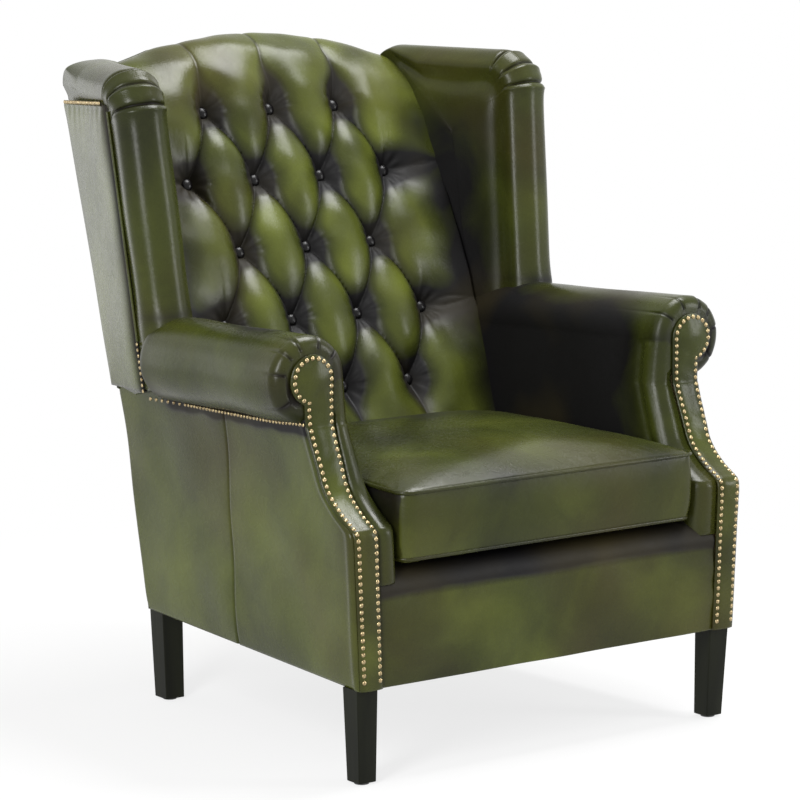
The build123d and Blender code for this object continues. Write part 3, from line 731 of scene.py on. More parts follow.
def wing_face(side):
    """One half of the slab: side 1 is the outer face, side -1 the inner one."""
    points, tones = [], []
    to_rear = rear_setback(outline[:, 1]) - outline[:, 0]
    rear_share = 0.12 + 0.20 * unit((outline[:, 1] - 0.975) / 0.03)
    narrow = 1 - (1 - rear_share) * unit((0.10 - to_rear) / 0.06)
    pleat_length = 0.022 if side > 0 else 0.012
    for distance, share in wing_rows:
        edge_line = outline + inward * (distance * narrow)[:, None]
        flat = edge_line + (spine - edge_line) * share
        s, z = flat.T
        from_edge = distance + np.linalg.norm(flat - edge_line, axis=1)
        rounding = math.sqrt(max(wing_round**2 - (wing_round - distance) ** 2, 0))
        half = wing_thick / 2 - wing_round + rounding
        swell = 0.004 * ridge(z - 0.62, 0.03) * crease(distance, 0.02)
        if side < 0:
            swell += 0.006 * edge_fall(from_edge - wing_round, 0.05)
            swell += 0.0040 * ridge(from_edge - 0.030, 0.011)
            swell -= 0.0045 * ridge(from_edge - 0.058, 0.013)
        swell += 0.0014 * ripple(s, z, size=0.2, seed=31) * edge_fall(from_edge, 0.02)
        dip = np.zeros(len(flat))
        reach = crease(np.maximum(from_edge - 0.020, 0), pleat_length)
        for pleat in wing_pleats:
            gap = along - pleat
            dip += reach * crease(gap, 0.0022) * np.where(gap > 0, 1, 0.9)
            swell += reach * 0.0035 * crease(gap + 0.010, 0.009)
        lean = math.acos(np.clip((wing_round - distance) / wing_round, -1, 1))
        move = swell - 0.0085 * unit(dip)
        s, z = (flat - inward * (move * math.cos(lean))[:, None]).T
        overhang = 0.006 * unit((z - panel_top - 0.001) / 0.018) * (side > 0)
        depth = wing_thick / 2 - side * (half + (move + overhang) * math.sin(lean))
        points.append(wing_place(s, z, depth))
        tone = 0.38 + 0.12 * ripple(s, z, size=0.3, seed=32) - 0.36 * unit(dip)
        if side < 0:
            # Painted shade: the inner face darkened away from its front edge, less near the top.
            inner_shade = edge_fall(from_edge - 0.050, 0.045)
            tone -= 0.44 * inner_shade * (1 - 0.9 * unit((z - 0.88) / 0.07))
        # Painted shade: a dark line where the wing meets the arm roll.
        tone -= 0.3 * crease(z - 0.636, 0.012) * crease(from_edge, 0.06)
        tones.append(tone)
    return np.array(points), np.array(tones)


outer, outer_tone = wing_face(1)
inner, inner_tone = wing_face(-1)
wing_grid = np.concatenate([outer[::-1], inner])
wing_tone = np.concatenate([outer_tone[::-1], inner_tone])
index = np.arange(wing_grid.shape[0] * wing_grid.shape[1]).reshape(wing_grid.shape[:2])
faces = quads(index)
faces.append([int(i) for i in np.concatenate([index[:, 0], index[::-1, -1]])])
both_sides("wing_cover", "wing_pad", wing_grid.reshape(-1, 3), faces, wing_tone, fill=0.8)


def panel_front(height):
    return wing_front(height, panel_top) + panel_inset


u, v = grid(0, 60, 110)
z = wing_foot + (panel_top - wing_foot) * v
front = panel_front(z)
z = z + (0.006 - 0.014 * u) * v + 0.014 * (1 - u) * (1 - v)
s = front + (rear_setback(z) - cover - front) * u
panel_width, panel_height = 0.2, 0.45
rim_gap = np.minimum(np.minimum(u, 1 - u) * panel_width, np.minimum(v, 1 - v) * panel_height)
swell = 0.0024 + 0.0028 * edge_fall(rim_gap, 0.014) + 0.0008 * ripple(s, z, size=0.18, seed=41)
swell += 0.0050 * edge_fall(u * 0.25, 0.016)
from_top = (1 - v) * panel_height
swell += 0.0012 * crease(from_top, 0.02) * edge_fall(from_top, 0.004) * np.sin(s / 0.0042)
tone = 0.66 + 0.12 * ripple(s, z, size=0.35, seed=42) - 0.3 * crease(rim_gap, 0.004)
# Painted shade: a dark strip along the front seam, where the panel curves in.
tone -= 0.55 * ridge(u * 0.25, 0.018)
panel = skin(wing_place(s, z, -swell), wing_place(s, z, 0.003), tone)
both_sides("outside_wing_cover", "outside_wing", *panel, fill=0.3)

# The buttoned back. The hide is drawn down by seventeen covered buttons in staggered rows, its
# spare width folded into tight pleats between them, out to the sides and over the arched crest.
button_pitch = 0.129
row_pitch = 0.108
button_top = 0.919
button_top_setback = 0.756
button_slope = 0.4838
button_rows = 5
outer_button = 1.5 * button_pitch
puff = 0.038
valley = 0.017
crest_height = 1.041
crest_radius = 0.800
back_half = 0.285
back_foot = 0.345
crest_drop = 0.088
tack_drop = 0.030
button_reach = 0.09
slope_run = math.hypot(1, button_slope)
lean_way = np.array([button_slope, 1]) / slope_run
out_way = np.array([-1, button_slope]) / slope_run


def button_setback(height):
    return button_top_setback - (button_top - height) * button_slope


button_spots = []
for row in range(button_rows):
    count = 3 if row % 2 == 0 else 4
    for i in range(count):
        button_spots.append(((i - (count - 1) / 2) * button_pitch, -row * row_pitch * slope_run))


def tufting(x, v):
    """Height of the hide, how deep in a fold it lies, and its droop over the pleat below it."""
    row = row_pitch * slope_run
    bottom = -(button_rows - 1) * row
    across = np.clip(x, -outer_button, outer_button) / button_pitch
    down = -np.clip(v, bottom, 0) / (2 * row)
    waver = 0.05 * ripple(x + 0 * v, v, size=0.10, seed=53)
    waver = waver * unit(np.maximum(v, np.abs(x) - outer_button) / 0.06)
    p = across + down + waver
    q = across - down + waver
    one = np.abs(np.sin(math.pi * p))
    other = np.abs(np.sin(math.pi * q))
    floor = np.maximum(one**2 + other**2 - (one * other) ** 2, 0) ** 0.62
    beyond = np.maximum(np.maximum(v, bottom - v), np.abs(x) - outer_button)
    beyond = np.maximum(beyond, 0)
    flatten = unit((beyond - 0.015) / 0.095)
    flatten = flatten * flatten * (3 - 2 * flatten)
    crown = (one * other) ** (0.52 - 0.34 * flatten)
    lift = edge_fall(beyond, 0.045)
    low = valley * floor + 0.026 * lift * (1 - floor)
    low = low + (puff - 0.0045 - low) * flatten
    height = low + (puff - low) * crown
    fold = unit(1 - crown * (1.55 + 0.6 * flatten))
    droop = crease(1 - np.mod(p, 1), 0.10) + crease(np.mod(q, 1), 0.10)
    droop = droop * floor * (beyond == 0)
    return height, fold, droop


def crest_line(x):
    return crest_height - (crest_radius - np.sqrt(crest_radius**2 - x**2))


def hull_column(x, front_rows, crest_rows):
    """Outline of the puffs in side view at one place: up the slope, over the crest, down behind."""
    top = crest_line(x)
    hull = puff * slope_run
    start_z = top - crest_drop
    end_z = top - tack_drop - 0.004
    p0 = np.array([button_setback(start_z) - hull, start_z])
    p3 = np.array([float(rear_setback(end_z)) - 0.001, end_z])
    rear_way = np.array([chair_depth - elbow_setback, back_top - elbow_height])
    rear_way /= np.linalg.norm(rear_way)
    t = np.linspace(0, 1, crest_rows + 1)[1:, None]
    low, high = 0.01, 0.14
    for _ in range(18):
        reach = (low + high) / 2
        p1 = p0 + lean_way * reach
        p2 = p3 + rear_way * reach * 0.62
        curve = (1 - t) ** 3 * p0 + 3 * (1 - t) ** 2 * t * p1
        curve += 3 * (1 - t) * t**2 * p2 + t**3 * p3
        low, high = (reach, high) if curve[:, 1].max() < top else (low, reach)
    z = np.linspace(back_foot, start_z, front_rows)
    return np.concatenate([np.stack([button_setback(z) - hull, z], -1), curve])


columns = 261
front_rows = 251
crest_rows = 60
xs = np.linspace(-back_half, back_half, columns)
back_points = np.zeros((columns, front_rows + crest_rows, 3))
back_under = np.zeros_like(back_points)
back_tone = np.zeros(back_points.shape[:2])
for i, x in enumerate(xs):
    line = hull_column(x, front_rows, crest_rows)
    v = run_along(line) + (line[0, 1] - button_top) * slope_run - puff * button_slope
    height, fold, droop = tufting(x, v)
    shade = 0 * v
    way = direction(line)
    out = np.stack([-way[:, 1], way[:, 0]], -1)
    for bx, bv in button_spots:
        if abs(x - bx) > button_reach:
            continue
        far = np.hypot(x - bx, v - bv)
        angle = np.arctan2(v - bv, x - bx)
        creases = np.sin(9 * angle + 40 * bx + 25 * bv)
        shade = shade + ridge(far, 0.030)
        height -= 0.005 * ridge(far, 0.013)
        height += 0.0011 * creases * ridge(far - 0.022, 0.010)
    height += 0.0016 * ripple(x + 0 * v, v, size=0.09, seed=51) * unit(height / puff)
    tucked = crease(v[-1] - v, 0.020)
    height = height * (1 - tucked) + (puff - 0.004) * tucked
    points = line + out * (height - puff)[:, None]
    points = points - way * (0.0055 * droop * (height < puff * 0.9))[:, None]
    s, z = points.T
    back_points[i] = place(s, z, x)
    back_under[i] = place(np.minimum(s + 0.03, rear_setback(z) - 0.004), z - 0.004, x)
    side_shade = 0.5 * unit((abs(x) - 0.215) / 0.05) * unit(-v / 0.05)
    back_tone[i] = 0.64 - 0.66 * fold - 0.8 * shade - side_shade
    back_tone[i] += 0.16 * ripple(x + 0 * v, v, size=0.12, seed=52)
under_step = 10
hide = skin(back_points, back_under, back_tone, under_step)
finish_piece("buttoned_back", *hide, ["back_pad"], fill=0.9)

# The outside back. One plain leather panel, drawn over the frame from the arched top to the foot,
# turned under at its edges and tacked to the posts and the bottom rail.


def back_edge(height):
    s = rear_setback(height)
    wing_side = wing_plane - wing_flare * s + wing_lean * height
    return np.where(height < elbow_height, side_x(s, height) + 0.001, wing_side)


back_shoulder = 0.962
u, v = grid(-1, 100, 140)
z = leg_height + (crest_height - tack_drop - leg_height) * v
for _ in range(6):
    x = back_edge(z) * u
    arch = np.maximum(crest_line(np.clip(x, -0.5, 0.5)) - tack_drop, back_shoulder)
    z = leg_height + (arch - leg_height) * v
x = back_edge(z) * u
rim_gap = np.minimum((1 - np.abs(u)) * 0.3, np.minimum(v, 1 - v) * 0.8)
swell = 0.0025 * edge_fall(rim_gap, 0.02) - 0.0008 * crease(rim_gap, 0.003)
swell += 0.0006 * ripple(x, z, size=0.2, seed=61)
tone = 0.42 + 0.12 * ripple(x, z, size=0.35, seed=62) - 0.2 * crease(rim_gap, 0.006)
outer = place(rear_setback(z) + swell - 0.0025, z, x)
inner = place(rear_setback(z) - cover, z, x)
finish_piece("outside_back_cover", *skin(outer, inner, tone), ["outside_back"], fill=0.3)

# Covered buttons. Domed buttons in a darker cut of the same hide, pulled in on twine through the
# whole pad. Geometry Nodes set one pressed dome on every button place.
button_radius = 0.011
button_dome = 0.007


def nodes_tree(name, sizes):
    """A geometry tree with its mesh input and output and one named number input for each size."""
    tree = bpy.data.node_groups.new(name, "GeometryNodeTree")
    tree.interface.new_socket("Geometry", in_out="INPUT", socket_type="NodeSocketGeometry")
    sockets = {}
    for size, value in sizes.items():
        socket = tree.interface.new_socket(size, in_out="INPUT", socket_type="NodeSocketFloat")
        socket.default_value = value
        sockets[size] = socket.identifier
    tree.interface.new_socket("Geometry", in_out="OUTPUT", socket_type="NodeSocketGeometry")
    start = tree.nodes.new("NodeGroupInput")
    end = tree.nodes.new("NodeGroupOutput")
    return tree, start, end, sockets


def settled_mesh(piece):
    """The plain mesh of a piece as its modifiers leave it."""
    graph = bpy.context.evaluated_depsgraph_get()
    return bpy.data.meshes.new_from_object(piece.evaluated_get(graph))


def grown(name, base, tree, sockets, sizes):
    """The piece that a geometry tree grows on a base mesh, with the modifier gone again."""
    piece = new_piece(name, base)
    modifier = piece.modifiers.new("grow", "NODES")
    modifier.node_group = tree
    for size, value in sizes.items():
        modifier[sockets[size]] = value
    mesh = settled_mesh(piece)
    piece.modifiers.clear()
    piece.data = mesh
    mesh.name = name
    return piece


def dotted_mesh(name, points, normals):
    """Loose points, each with the way in which its dome stands out."""
    mesh = bpy.data.meshes.new(name)
    mesh.from_pydata(np.asarray(points, float).tolist(), [], [])
    attribute = mesh.attributes.new("way_out", "FLOAT_VECTOR", "POINT")
    attribute.data.foreach_set("vector", np.ravel(normals).astype(np.float32))
    return mesh


def close_tree(tree, mesh, material, end):
    """The last nodes of a geometry tree: a real, smoothly shaded mesh with its material."""
    real = add_node(tree, "GeometryNodeRealizeInstances")
    smooth = add_node(tree, "GeometryNodeSetShadeSmooth")
    paint = add_node(tree, "GeometryNodeSetMaterial", Material=material)
    link(
        tree,
        (mesh, real.inputs["Geometry"]),
        (real.outputs["Geometry"], smooth.inputs["Geometry"]),
        (smooth.outputs["Geometry"], paint.inputs["Geometry"]),
        (paint.outputs["Geometry"], end.inputs["Geometry"]),
    )


def dome_tree(name, material, segments, rows):
    """A dome set on each loose point of a mesh, turned to its way out."""
    tree, start, end, sockets = nodes_tree(name, {"Radius": 0.01, "Rise": 0.5})
    ball = add_node(tree, "GeometryNodeMeshUVSphere", Segments=segments, Rings=rows)
    flatten = add_node(tree, "GeometryNodeTransform")
    scale = add_node(tree, "ShaderNodeCombineXYZ", X=1.0, Y=1.0)
    spread = add_node(tree, "GeometryNodeInstanceOnPoints")
    turn = add_node(tree, "FunctionNodeAlignRotationToVector", axis="Z")
    way = add_node(tree, "GeometryNodeInputNamedAttribute", data_type="FLOAT_VECTOR")
    way.inputs["Name"].default_value = "way_out"
    link(
        tree,
        (start.outputs["Radius"], ball.inputs["Radius"]),
        (start.outputs["Rise"], scale.inputs["Z"]),
        (ball.outputs["Mesh"], flatten.inputs["Geometry"]),
        (scale.outputs["Vector"], flatten.inputs["Scale"]),
        (start.outputs["Geometry"], spread.inputs["Points"]),
        (flatten.outputs["Geometry"], spread.inputs["Instance"]),
        (way.outputs["Attribute"], turn.inputs["Vector"]),
        (turn.outputs["Rotation"], spread.inputs["Rotation"]),
    )
    close_tree(tree, spread.outputs["Instances"], material, end)
    return tree, sockets


button_leather = antique_leather(
    "button_leather",
    fold=(0.0040, 0.0036, 0.0040),
    body=(0.0050, 0.0050, 0.0042),
    crown=(0.0090, 0.0095, 0.0060),
    brown=(0.0060, 0.0050, 0.0040),
)
top_middle = np.array([button_top_setback, button_top])
points = np.array([place(*(top_middle + lean_way * v), x) for x, v in button_spots])
normals = np.tile([0, *out_way], (len(button_spots), 1))
base = dotted_mesh("button_places", points + 0.0015 * normals, normals)
tree, sockets = dome_tree("covered_button", button_leather, 32, 16)
sizes = {"Radius": button_radius, "Rise": button_dome / button_radius}
buttons = grown("covered_buttons", base, tree, sockets, sizes)
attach(buttons, "chair")
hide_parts("back_buttons")

# The front border. Leather is drawn over a stuffed edge roll and down the front of the rail, with
# a few gathers at each end where it goes in behind the arm facings.
deck_height = 0.322
border_round = 0.038
border_depth = 0.054
border_half = 0.3205
u, v = grid(-1, 220, 90)
face_length = deck_height - border_round - leg_height
run = v * (face_length + border_round * math.pi / 2)
arc = np.clip((run - face_length) / border_round, 0, math.pi / 2)
over_roll_edge = leg_height + face_length + (border_round - 0.002) * np.sin(arc)
z = np.where(run < face_length, leg_height + run, over_roll_edge)
s = front_lap + border_depth * (1 - np.cos(arc))
x = u * border_half
from_end = (1 - np.abs(u)) * border_half
swell = 0.004 * np.sin(np.pi * unit(run / face_length)) * edge_fall(from_end, 0.02)
swell += 0.0012 * ripple(x, run, size=0.15, seed=71)
gathers = crease(from_end, 0.03) * np.sin(run / 0.0075 + np.sign(u))
swell += 0.0007 * gathers * np.sin(np.pi * v) ** 0.5
out_s = -np.cos(arc)
out_z = np.sin(arc)
outer = place(s + out_s * swell, z + out_z * swell * 0.5, x)
inner = place(s - out_s * 0.006 + 0.004, z - 0.004 * out_z, x)
tone = 0.50 + 0.16 * ripple(x, run, size=0.3, seed=72) - 0.2 * crease((1 - np.abs(u)) * 0.3, 0.02)
# Painted light: a lighter band across the face; painted shadow: the top of the border darkened
# under the cushion.
tone += 0.10 * ridge(z - 0.22, 0.05) - 0.62 * unit((z - 0.272) / 0.014)
finish_piece("front_border_cover", *skin(outer, inner, tone), ["front_border"], fill=0.7)

# The loose seat cushion. A boxed feather-and-foam cushion: top and bottom are sewn to a border
# with fine piping in both seams, and it lies free on the deck between the arms.
cushion_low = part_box("seat_cushion")[0][2]
cushion_wall = 0.106
cushion_crown = 0.030
cushion_front_half = 0.2805
cushion_rear_half = 0.2425
cushion_front = 0.003
cushion_rear = 0.479
cushion_corner = 0.020
filling_frames = 20
piping_radius = 0.0032


def cushion_outline():
    """The cushion's plan, round its four corners, in even steps."""
    corners = [
        (cushion_front, cushion_front_half),
        (cushion_rear, cushion_rear_half),
        (cushion_rear, -cushion_rear_half),
        (cushion_front, -cushion_front_half),
    ]
    line = []
    for i, corner in enumerate(corners):
        before = corners[i - 1]
        after = corners[(i + 1) % 4]
        line.append(rounded_corner(before, np.array(corner), after, cushion_corner, 16))
    path = np.concatenate(line + [line[0][:1]])
    length = run_along(path)
    even = np.linspace(0, length[-1], 241)[:-1]
    return np.stack([np.interp(even, length, path[:, i]) for i in (0, 1)], -1)


def mesh_points(mesh):
    numbers = np.zeros(3 * len(mesh.vertices))
    mesh.vertices.foreach_get("co", numbers)
    return numbers.reshape(-1, 3)


def inflated(name, points, faces, seams, voxel, pressure, most):
    """A start shape blown up by its filling in a cloth simulation, held only along its seams."""
    base = bpy.data.meshes.new(name)
    base.from_pydata(points.tolist(), [], faces)
    piece = new_piece(name, base)
    even_skin = piece.modifiers.new("even_mesh", "REMESH")
    even_skin.mode = "VOXEL"
    even_skin.voxel_size = voxel
    mesh = settled_mesh(piece)
    piece.modifiers.clear()
    piece.data = mesh
    start = mesh_points(mesh)
    held = piece.vertex_groups.new(name="seams")
    held.add([int(i) for i in np.nonzero(seams(start))[0]], 1.0, "REPLACE")
    cloth = piece.modifiers.new("filling", "CLOTH")
    cloth.settings.use_pressure = True
    cloth.settings.uniform_pressure_force = pressure
    cloth.settings.effector_weights.gravity = 0
    cloth.settings.vertex_group_mass = "seams"
    cloth.settings.quality = 5
    cloth.point_cache.frame_end = filling_frames
    for moment in range(1, filling_frames + 1):
        bpy.context.scene.frame_set(moment)
    move = mesh_points(settled_mesh(piece)) - start
    far = np.linalg.norm(move, axis=1)[:, None]
    end = start + move * np.minimum(1, most / np.maximum(far, 1e-9))
    piece.modifiers.clear()
    bpy.context.scene.frame_set(1)
    mesh.vertices.foreach_set("co", np.ravel(end))
    smooth = piece.modifiers.new("smooth", "SUBSURF")
    smooth.levels = smooth.render_levels = 1
    mesh = settled_mesh(piece)
    bpy.data.objects.remove(piece)
    return mesh_points(mesh), [list(face.vertices) for face in mesh.polygons]


def cushion_shares(points):
    """How far out each point of the cushion lies, from its middle to its sides and to its ends."""
    setback = points[:, 1] - front_y
    run = (setback - cushion_front) / (cushion_rear - cushion_front)
    half = cushion_front_half + (cushion_rear_half - cushion_front_half) * run
    return np.abs(points[:, 0]) / half, np.abs(2 * run - 1), setback


edge = cushion_outline()
middle = np.array([(cushion_front + cushion_rear) / 2, 0])
shares = np.concatenate([np.linspace(0.04, 0.94, 34), [0.965, 0.985, 1.0]])
layers = [(middle + (edge - middle) * share, cushion_low, 0) for share in shares]
outwards = (edge - middle) / np.linalg.norm(edge - middle, axis=1)[:, None]
for k in np.linspace(0, 1, 26)[1:-1]:
    bulge = 0.003 * math.sin(math.pi * k) - 0.006 * (1 - k) ** 8
    layers.append((edge + outwards * bulge, cushion_low + cushion_wall * k, 0))
seam_height = cushion_low + cushion_wall
layers += [(middle + (edge - middle) * share, seam_height, 1) for share in shares[::-1]]
cushion_points = []
for line, height, top in layers:
    ring = place(line[:, 0], height, line[:, 1])
    across, length, _ = cushion_shares(ring)
    fullness = (1 - unit(across) ** 4.5) * (1 - unit(length) ** 4.5)
    crown = cushion_crown + 0.0016 * ripple(*line.T, size=0.22, seed=81)
    ring[:, 2] += top * crown * unit(fullness) ** 0.7
    cushion_points.append(ring)
vertices, faces = rings(np.array(cushion_points))


def on_cushion_seams(points):
    across, length, _ = cushion_shares(points)
    height = points[:, 2] - cushion_low
    at_edge = np.maximum(across, length) > 0.985
    return at_edge & ((np.abs(height - cushion_wall) < 0.005) | (height < 0.008))


vertices, faces = inflated(
    "cushion_filling", vertices, faces, on_cushion_seams, voxel=0.006, pressure=4.0, most=0.009
)
vertices[:, 2] = np.maximum(vertices[:, 2], cushion_low)
across, length, setback = cushion_shares(vertices)
height = (vertices[:, 2] - cushion_low) / cushion_wall
# Painted shade: the bottom of the cushion is darkened.
tone = 0.46 + 0.14 * ripple(*vertices.T, size=0.3, seed=82) - 0.3 * (height < 0.02)
# Painted shade: the top darker towards the back and towards its edges.
tone = tone - (height > 1.02) * (0.16 * np.maximum(across, length) ** 6 + 0.55 * setback - 0.07)
tone = tone - 0.16 * (height < 0.98) * crease(1 - height, 0.25)
# Painted shade: a darker band along the top just behind the front piping.
tone = tone - 0.14 * (height > 1.0) * ridge(setback, 0.035)
# Painted shade: the sides darkened where they face the arms.
tone = tone - 0.32 * (height < 0.98) * (across > 0.98) * (length < 0.96)
filled = (vertices, faces, tone)
finish_piece("seat_cushion_cover", *filled, ["seat_cushion"], body="cushion", fill=0.8)


def cord_tree(name, material):
    """A round cord of leather swept along an edge line."""
    tree, start, end, sockets = nodes_tree(name, {"Radius": 0.003})
    curve = add_node(tree, "GeometryNodeMeshToCurve")
    circle = add_node(tree, "GeometryNodeCurvePrimitiveCircle", Resolution=10)
    sweep = add_node(tree, "GeometryNodeCurveToMesh", **{"Fill Caps": True})
    link(
        tree,
        (start.outputs["Geometry"], curve.inputs["Mesh"]),
        (start.outputs["Radius"], circle.inputs["Radius"]),
        (curve.outputs["Curve"], sweep.inputs["Curve"]),
        (circle.outputs["Curve"], sweep.inputs["Profile Curve"]),
    )
    close_tree(tree, sweep.outputs["Mesh"], material, end)
    return tree, sockets


def line_mesh(name, lines, closed=False):
    mesh = bpy.data.meshes.new(name)
    vertices, edges = [], []
    for line in lines:
        first = len(vertices)
        vertices += line.tolist()
        edges += [(first + i, first + i + 1) for i in range(len(line) - 1)]
        if closed:
            edges.append((len(vertices) - 1, first))
    mesh.from_pydata(vertices, edges, [])
    return mesh


welt_tree, welt_sockets = cord_tree("leather_piping", green_leather)
lower_edge = middle + (edge - middle) * 0.988
seams = [
    place(edge[:, 0], seam_height - 0.001, edge[:, 1]),
    place(lower_edge[:, 0], cushion_low + 0.006, lower_edge[:, 1]),
]
base = line_mesh("cushion_seams", seams, closed=True)
sizes = {"Radius": piping_radius}
piping = grown("cushion_piping_cords", base, welt_tree, welt_sockets, sizes)
set_tone(piping.data, np.full(len(piping.data.vertices), 0.3))
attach(piping, "cushion")
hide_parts("cushion_piping")

# Brass nails and welts. Nails with domed heads of tarnished brass stand close together along both
# edges of each facing and round its scroll, under the arm roll, up the foot of the wing's outer
# seam and along the top of its outer panel. A thin leather cord closes the rest of that seam.
nail_inset = 0.006
nail_pitch = 0.0105
nail_radius = 0.0038
small_nail_radius = 0.85 * nail_radius
nail_rise = 0.62

brass = mottled("antique_brass", (0.16, 0.11, 0.055), (0.62, 0.50, 0.28), 520, 0.28, 0.00015, 1.0)


def spaced(line, normals, pitch):
    """Places at an even pitch along a line, with the way out of the cover at each."""
    length = run_along(line)
    even = np.linspace(0, length[-1], max(2, int(round(length[-1] / pitch)) + 1))
    points = np.stack([np.interp(even, length, line[:, i]) for i in range(3)], -1)
    ways = np.stack([np.interp(even, length, normals[:, i]) for i in range(3)], -1)
    return points, ways / np.linalg.norm(ways, axis=1)[:, None]


strip = front_line[front_line[:, 1] < scroll_height - 0.031]
strip_normal = front_normal(front_line)[: len(strip)]
lift = 0.0018
flat_out = np.stack([np.zeros(len(strip)), *strip_normal.T], -1)
left, right = facing_edges(strip[:, 1])
outer_line = place(*strip.T, right - nail_inset) + flat_out * lift
inner_line = place(*strip.T, left + nail_inset) + flat_out * lift
loop_radius = facing_head - nail_inset + 0.0005
start = math.atan2(strip[-1, 1] - scroll_height, right[-1] - nail_inset - scroll_x)
turns = np.linspace(start, math.pi + 0.15, 60)
loop_z = scroll_height + loop_radius * np.sin(turns)
loop_line = place(scroll_setback - lift, loop_z, scroll_x + loop_radius * np.cos(turns))
loop_out = np.tile([0.0, -1.0, 0.0], (len(turns), 1))
whole = np.concatenate([outer_line, loop_line, inner_line[::-1]])
whole_out = np.concatenate([flat_out, loop_out, flat_out[::-1]])
above_foot = whole[:, 2] > leg_height + 0.011
facing_nails = spaced(whole[above_foot], whole_out[above_foot], nail_pitch)

s = np.linspace(scroll_setback + 0.006, arm_rear_setback - 0.018, 60)
z = under_roll(s) - 0.0085 + 0.009 * crease(s - scroll_setback, 0.05)
x = side_x(s, z) + 0.0095
roll_x, roll_z = roll_centre(s)
turned_up = unit((s - 0.475) / 0.045)
end_radius = roll_radius + 0.001
x = x + (roll_x + end_radius * math.cos(math.radians(57)) - x) * turned_up
on_roll_skin = roll_z - np.sqrt(end_radius**2 - np.clip(x - roll_x, 0, 0.05) ** 2)
z = np.minimum(z + 0.008 * turned_up, on_roll_skin)
side_out = np.tile([1.0, 0.05, 0.1], (len(s), 1))
under_nails = spaced(place(s, z, x), side_out, nail_pitch * 0.92)

z = np.linspace(wing_foot + 0.016, wing_foot + 0.088, 30)
wing_out = np.tile(wing_normal, (len(z), 1))
seam_nails = spaced(wing_place(panel_front(z) - 0.005, z, -0.0045), wing_out, nail_pitch * 0.92)

s = np.linspace(wing_top_setback + panel_inset + 0.02, float(rear_setback(panel_top)) - 0.010, 40)
z = panel_top + 0.0075 - 0.014 * (s - s[0]) / (s[-1] - s[0])
wing_out = np.tile(wing_normal, (len(z), 1))
top_nails = spaced(wing_place(s, z, -0.0074), wing_out, nail_pitch * 0.85)

z = np.linspace(wing_foot + 0.092, panel_top - 0.004, 80)
welt_line = wing_place(panel_front(z) - 0.004, z, -0.0030)
for side, sign in sides:
    base = line_mesh("wing_seam_" + side, [welt_line * (sign, 1, 1)])
    welt = grown("wing_seam_cord_" + side, base, welt_tree, welt_sockets, {"Radius": 0.0022})
    set_tone(welt.data, np.full(len(welt.data.vertices), 0.5))
    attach(welt, "chair")

nail_tree, nail_sockets = dome_tree("brass_nail", brass, 12, 6)
nail_rows = {
    "facing_nails": (facing_nails, nail_radius),
    "under_arm_nails": (under_nails, small_nail_radius),
    "wing_seam_nails": (seam_nails, small_nail_radius),
    "wing_back_nails": (top_nails, small_nail_radius),
}
for side, sign in sides:
    flip = (sign, 1, 1)
    for name, ((points, ways), radius) in nail_rows.items():
        base = dotted_mesh(f"{name}_places_{side}", points * flip, ways * flip)
        sizes = {"Radius": radius, "Rise": nail_rise}
        nails = grown(f"{name}_{side}", base, nail_tree, nail_sockets, sizes)
        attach(nails, "chair")

# Floor and backdrop. A white studio sweep stands for the cleared background of the photograph:
# its colour stays plain white, and it keeps the soft shadow under the chair.


def seen_directly(tree):
    """1 for the rays that show a thing itself, and 0 for those that only carry its light."""
    rays = add_node(tree, "ShaderNodeLightPath").outputs
    either = reckoned(tree, "MAXIMUM", rays["Is Camera Ray"], rays["Is Glossy Ray"])
    return reckoned(tree, "MAXIMUM", either, rays["Is Transmission Ray"])


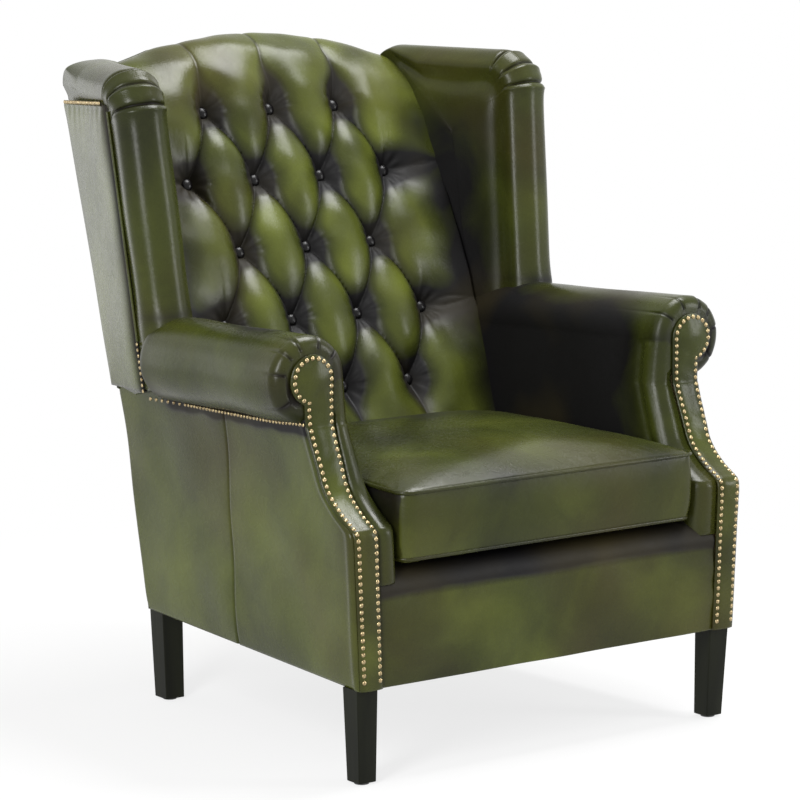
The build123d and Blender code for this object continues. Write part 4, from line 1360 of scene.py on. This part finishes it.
bpy.ops.mesh.primitive_plane_add(size=30)
floor = bpy.context.object
floor.name = "studio_floor"
sweep, tree, shader = material_nodes("white_floor")
shader.inputs["Base Color"].default_value = (0.9, 0.9, 0.9, 1)
shader.inputs["Roughness"].default_value = 0.9
shader.inputs["Specular IOR Level"].default_value = 0.0
glow = add_node(tree, "ShaderNodeEmission", Strength=1.0)
shown = add_node(tree, "ShaderNodeMixShader")
floor_place = add_node(tree, "ShaderNodeTexCoord")
away = add_node(tree, "ShaderNodeVectorMath", operation="LENGTH")
link(tree, (floor_place.outputs["Object"], away.inputs[0]))
whitening = ranged(tree, away.outputs["Value"], (0.6, 1.5), (0.78, 1))
white_share = reckoned(tree, "MULTIPLY", seen_directly(tree), whitening)
link(
    tree,
    (white_share, shown.inputs["Fac"]),
    (shader.outputs["BSDF"], shown.inputs[1]),
    (glow.outputs["Emission"], shown.inputs[2]),
    (shown.outputs["Shader"], tree.nodes["Material Output"].inputs["Surface"]),
)
floor.data.materials.append(sweep)

world = bpy.data.worlds.new("studio")
bpy.context.scene.world = world
world.use_nodes = True
tree = world.node_tree
background = tree.nodes["Background"]
level = ranged(tree, seen_directly(tree), (0, 1), (0.42, 1))
link(tree, (level, background.inputs["Strength"]))
background.inputs["Color"].default_value = (1, 1, 1, 1)

# Lamps. Four soft boxes: a tall one at the left of the camera, a wide one overhead, a weak one on
# the right and a faint one behind, as studio light that leaves long streaks on polished hide.


def soft_box(name, place_at, look_at, width, height, power):
    lamp = bpy.data.lights.new(name, "AREA")
    lamp.shape = "RECTANGLE"
    lamp.size = width
    lamp.size_y = height
    lamp.energy = power
    piece = new_piece(name, lamp)
    piece.location = place_at
    aim = Vector(look_at) - Vector(place_at)
    piece.rotation_euler = aim.to_track_quat("-Z", "Y").to_euler()


soft_box("left_box", (-2.6, -1.6, 1.7), (0, 0, 0.5), 0.7, 1.8, 75)
soft_box("overhead_box", (0.8, -0.1, 2.9), (0, 0, 0.4), 1.5, 1.2, 88)
soft_box("right_box", (2.4, -2.4, 1.3), (0, 0, 0.5), 0.6, 1.6, 35)
soft_box("rear_box", (-1.0, 3.0, 0.6), (-0.2, 0, 0.6), 2.0, 1.6, 11)

# The camera. It stands where the photograph was taken from: to the left of the chair's front, a
# little above its back, with a long lens. Place and turn were fitted to points of the chair.
camera_place = (-3.306, -4.534, 1.411)
yaw = math.radians(36.31)
pitch = math.radians(-9.40)
camera_data = bpy.data.cameras.new("photograph_view")
camera_data.lens = 161.8
camera_data.sensor_width = 36
camera = new_piece("photograph_view", camera_data)
level_aim = Vector((math.sin(yaw), math.cos(yaw), 0)) * math.cos(pitch)
aim = level_aim + Vector((0, 0, math.sin(pitch)))
camera.location = camera_place
camera.rotation_euler = aim.to_track_quat("-Z", "Y").to_euler()
scene = bpy.context.scene
scene.camera = camera
scene.view_settings.view_transform = "Standard"
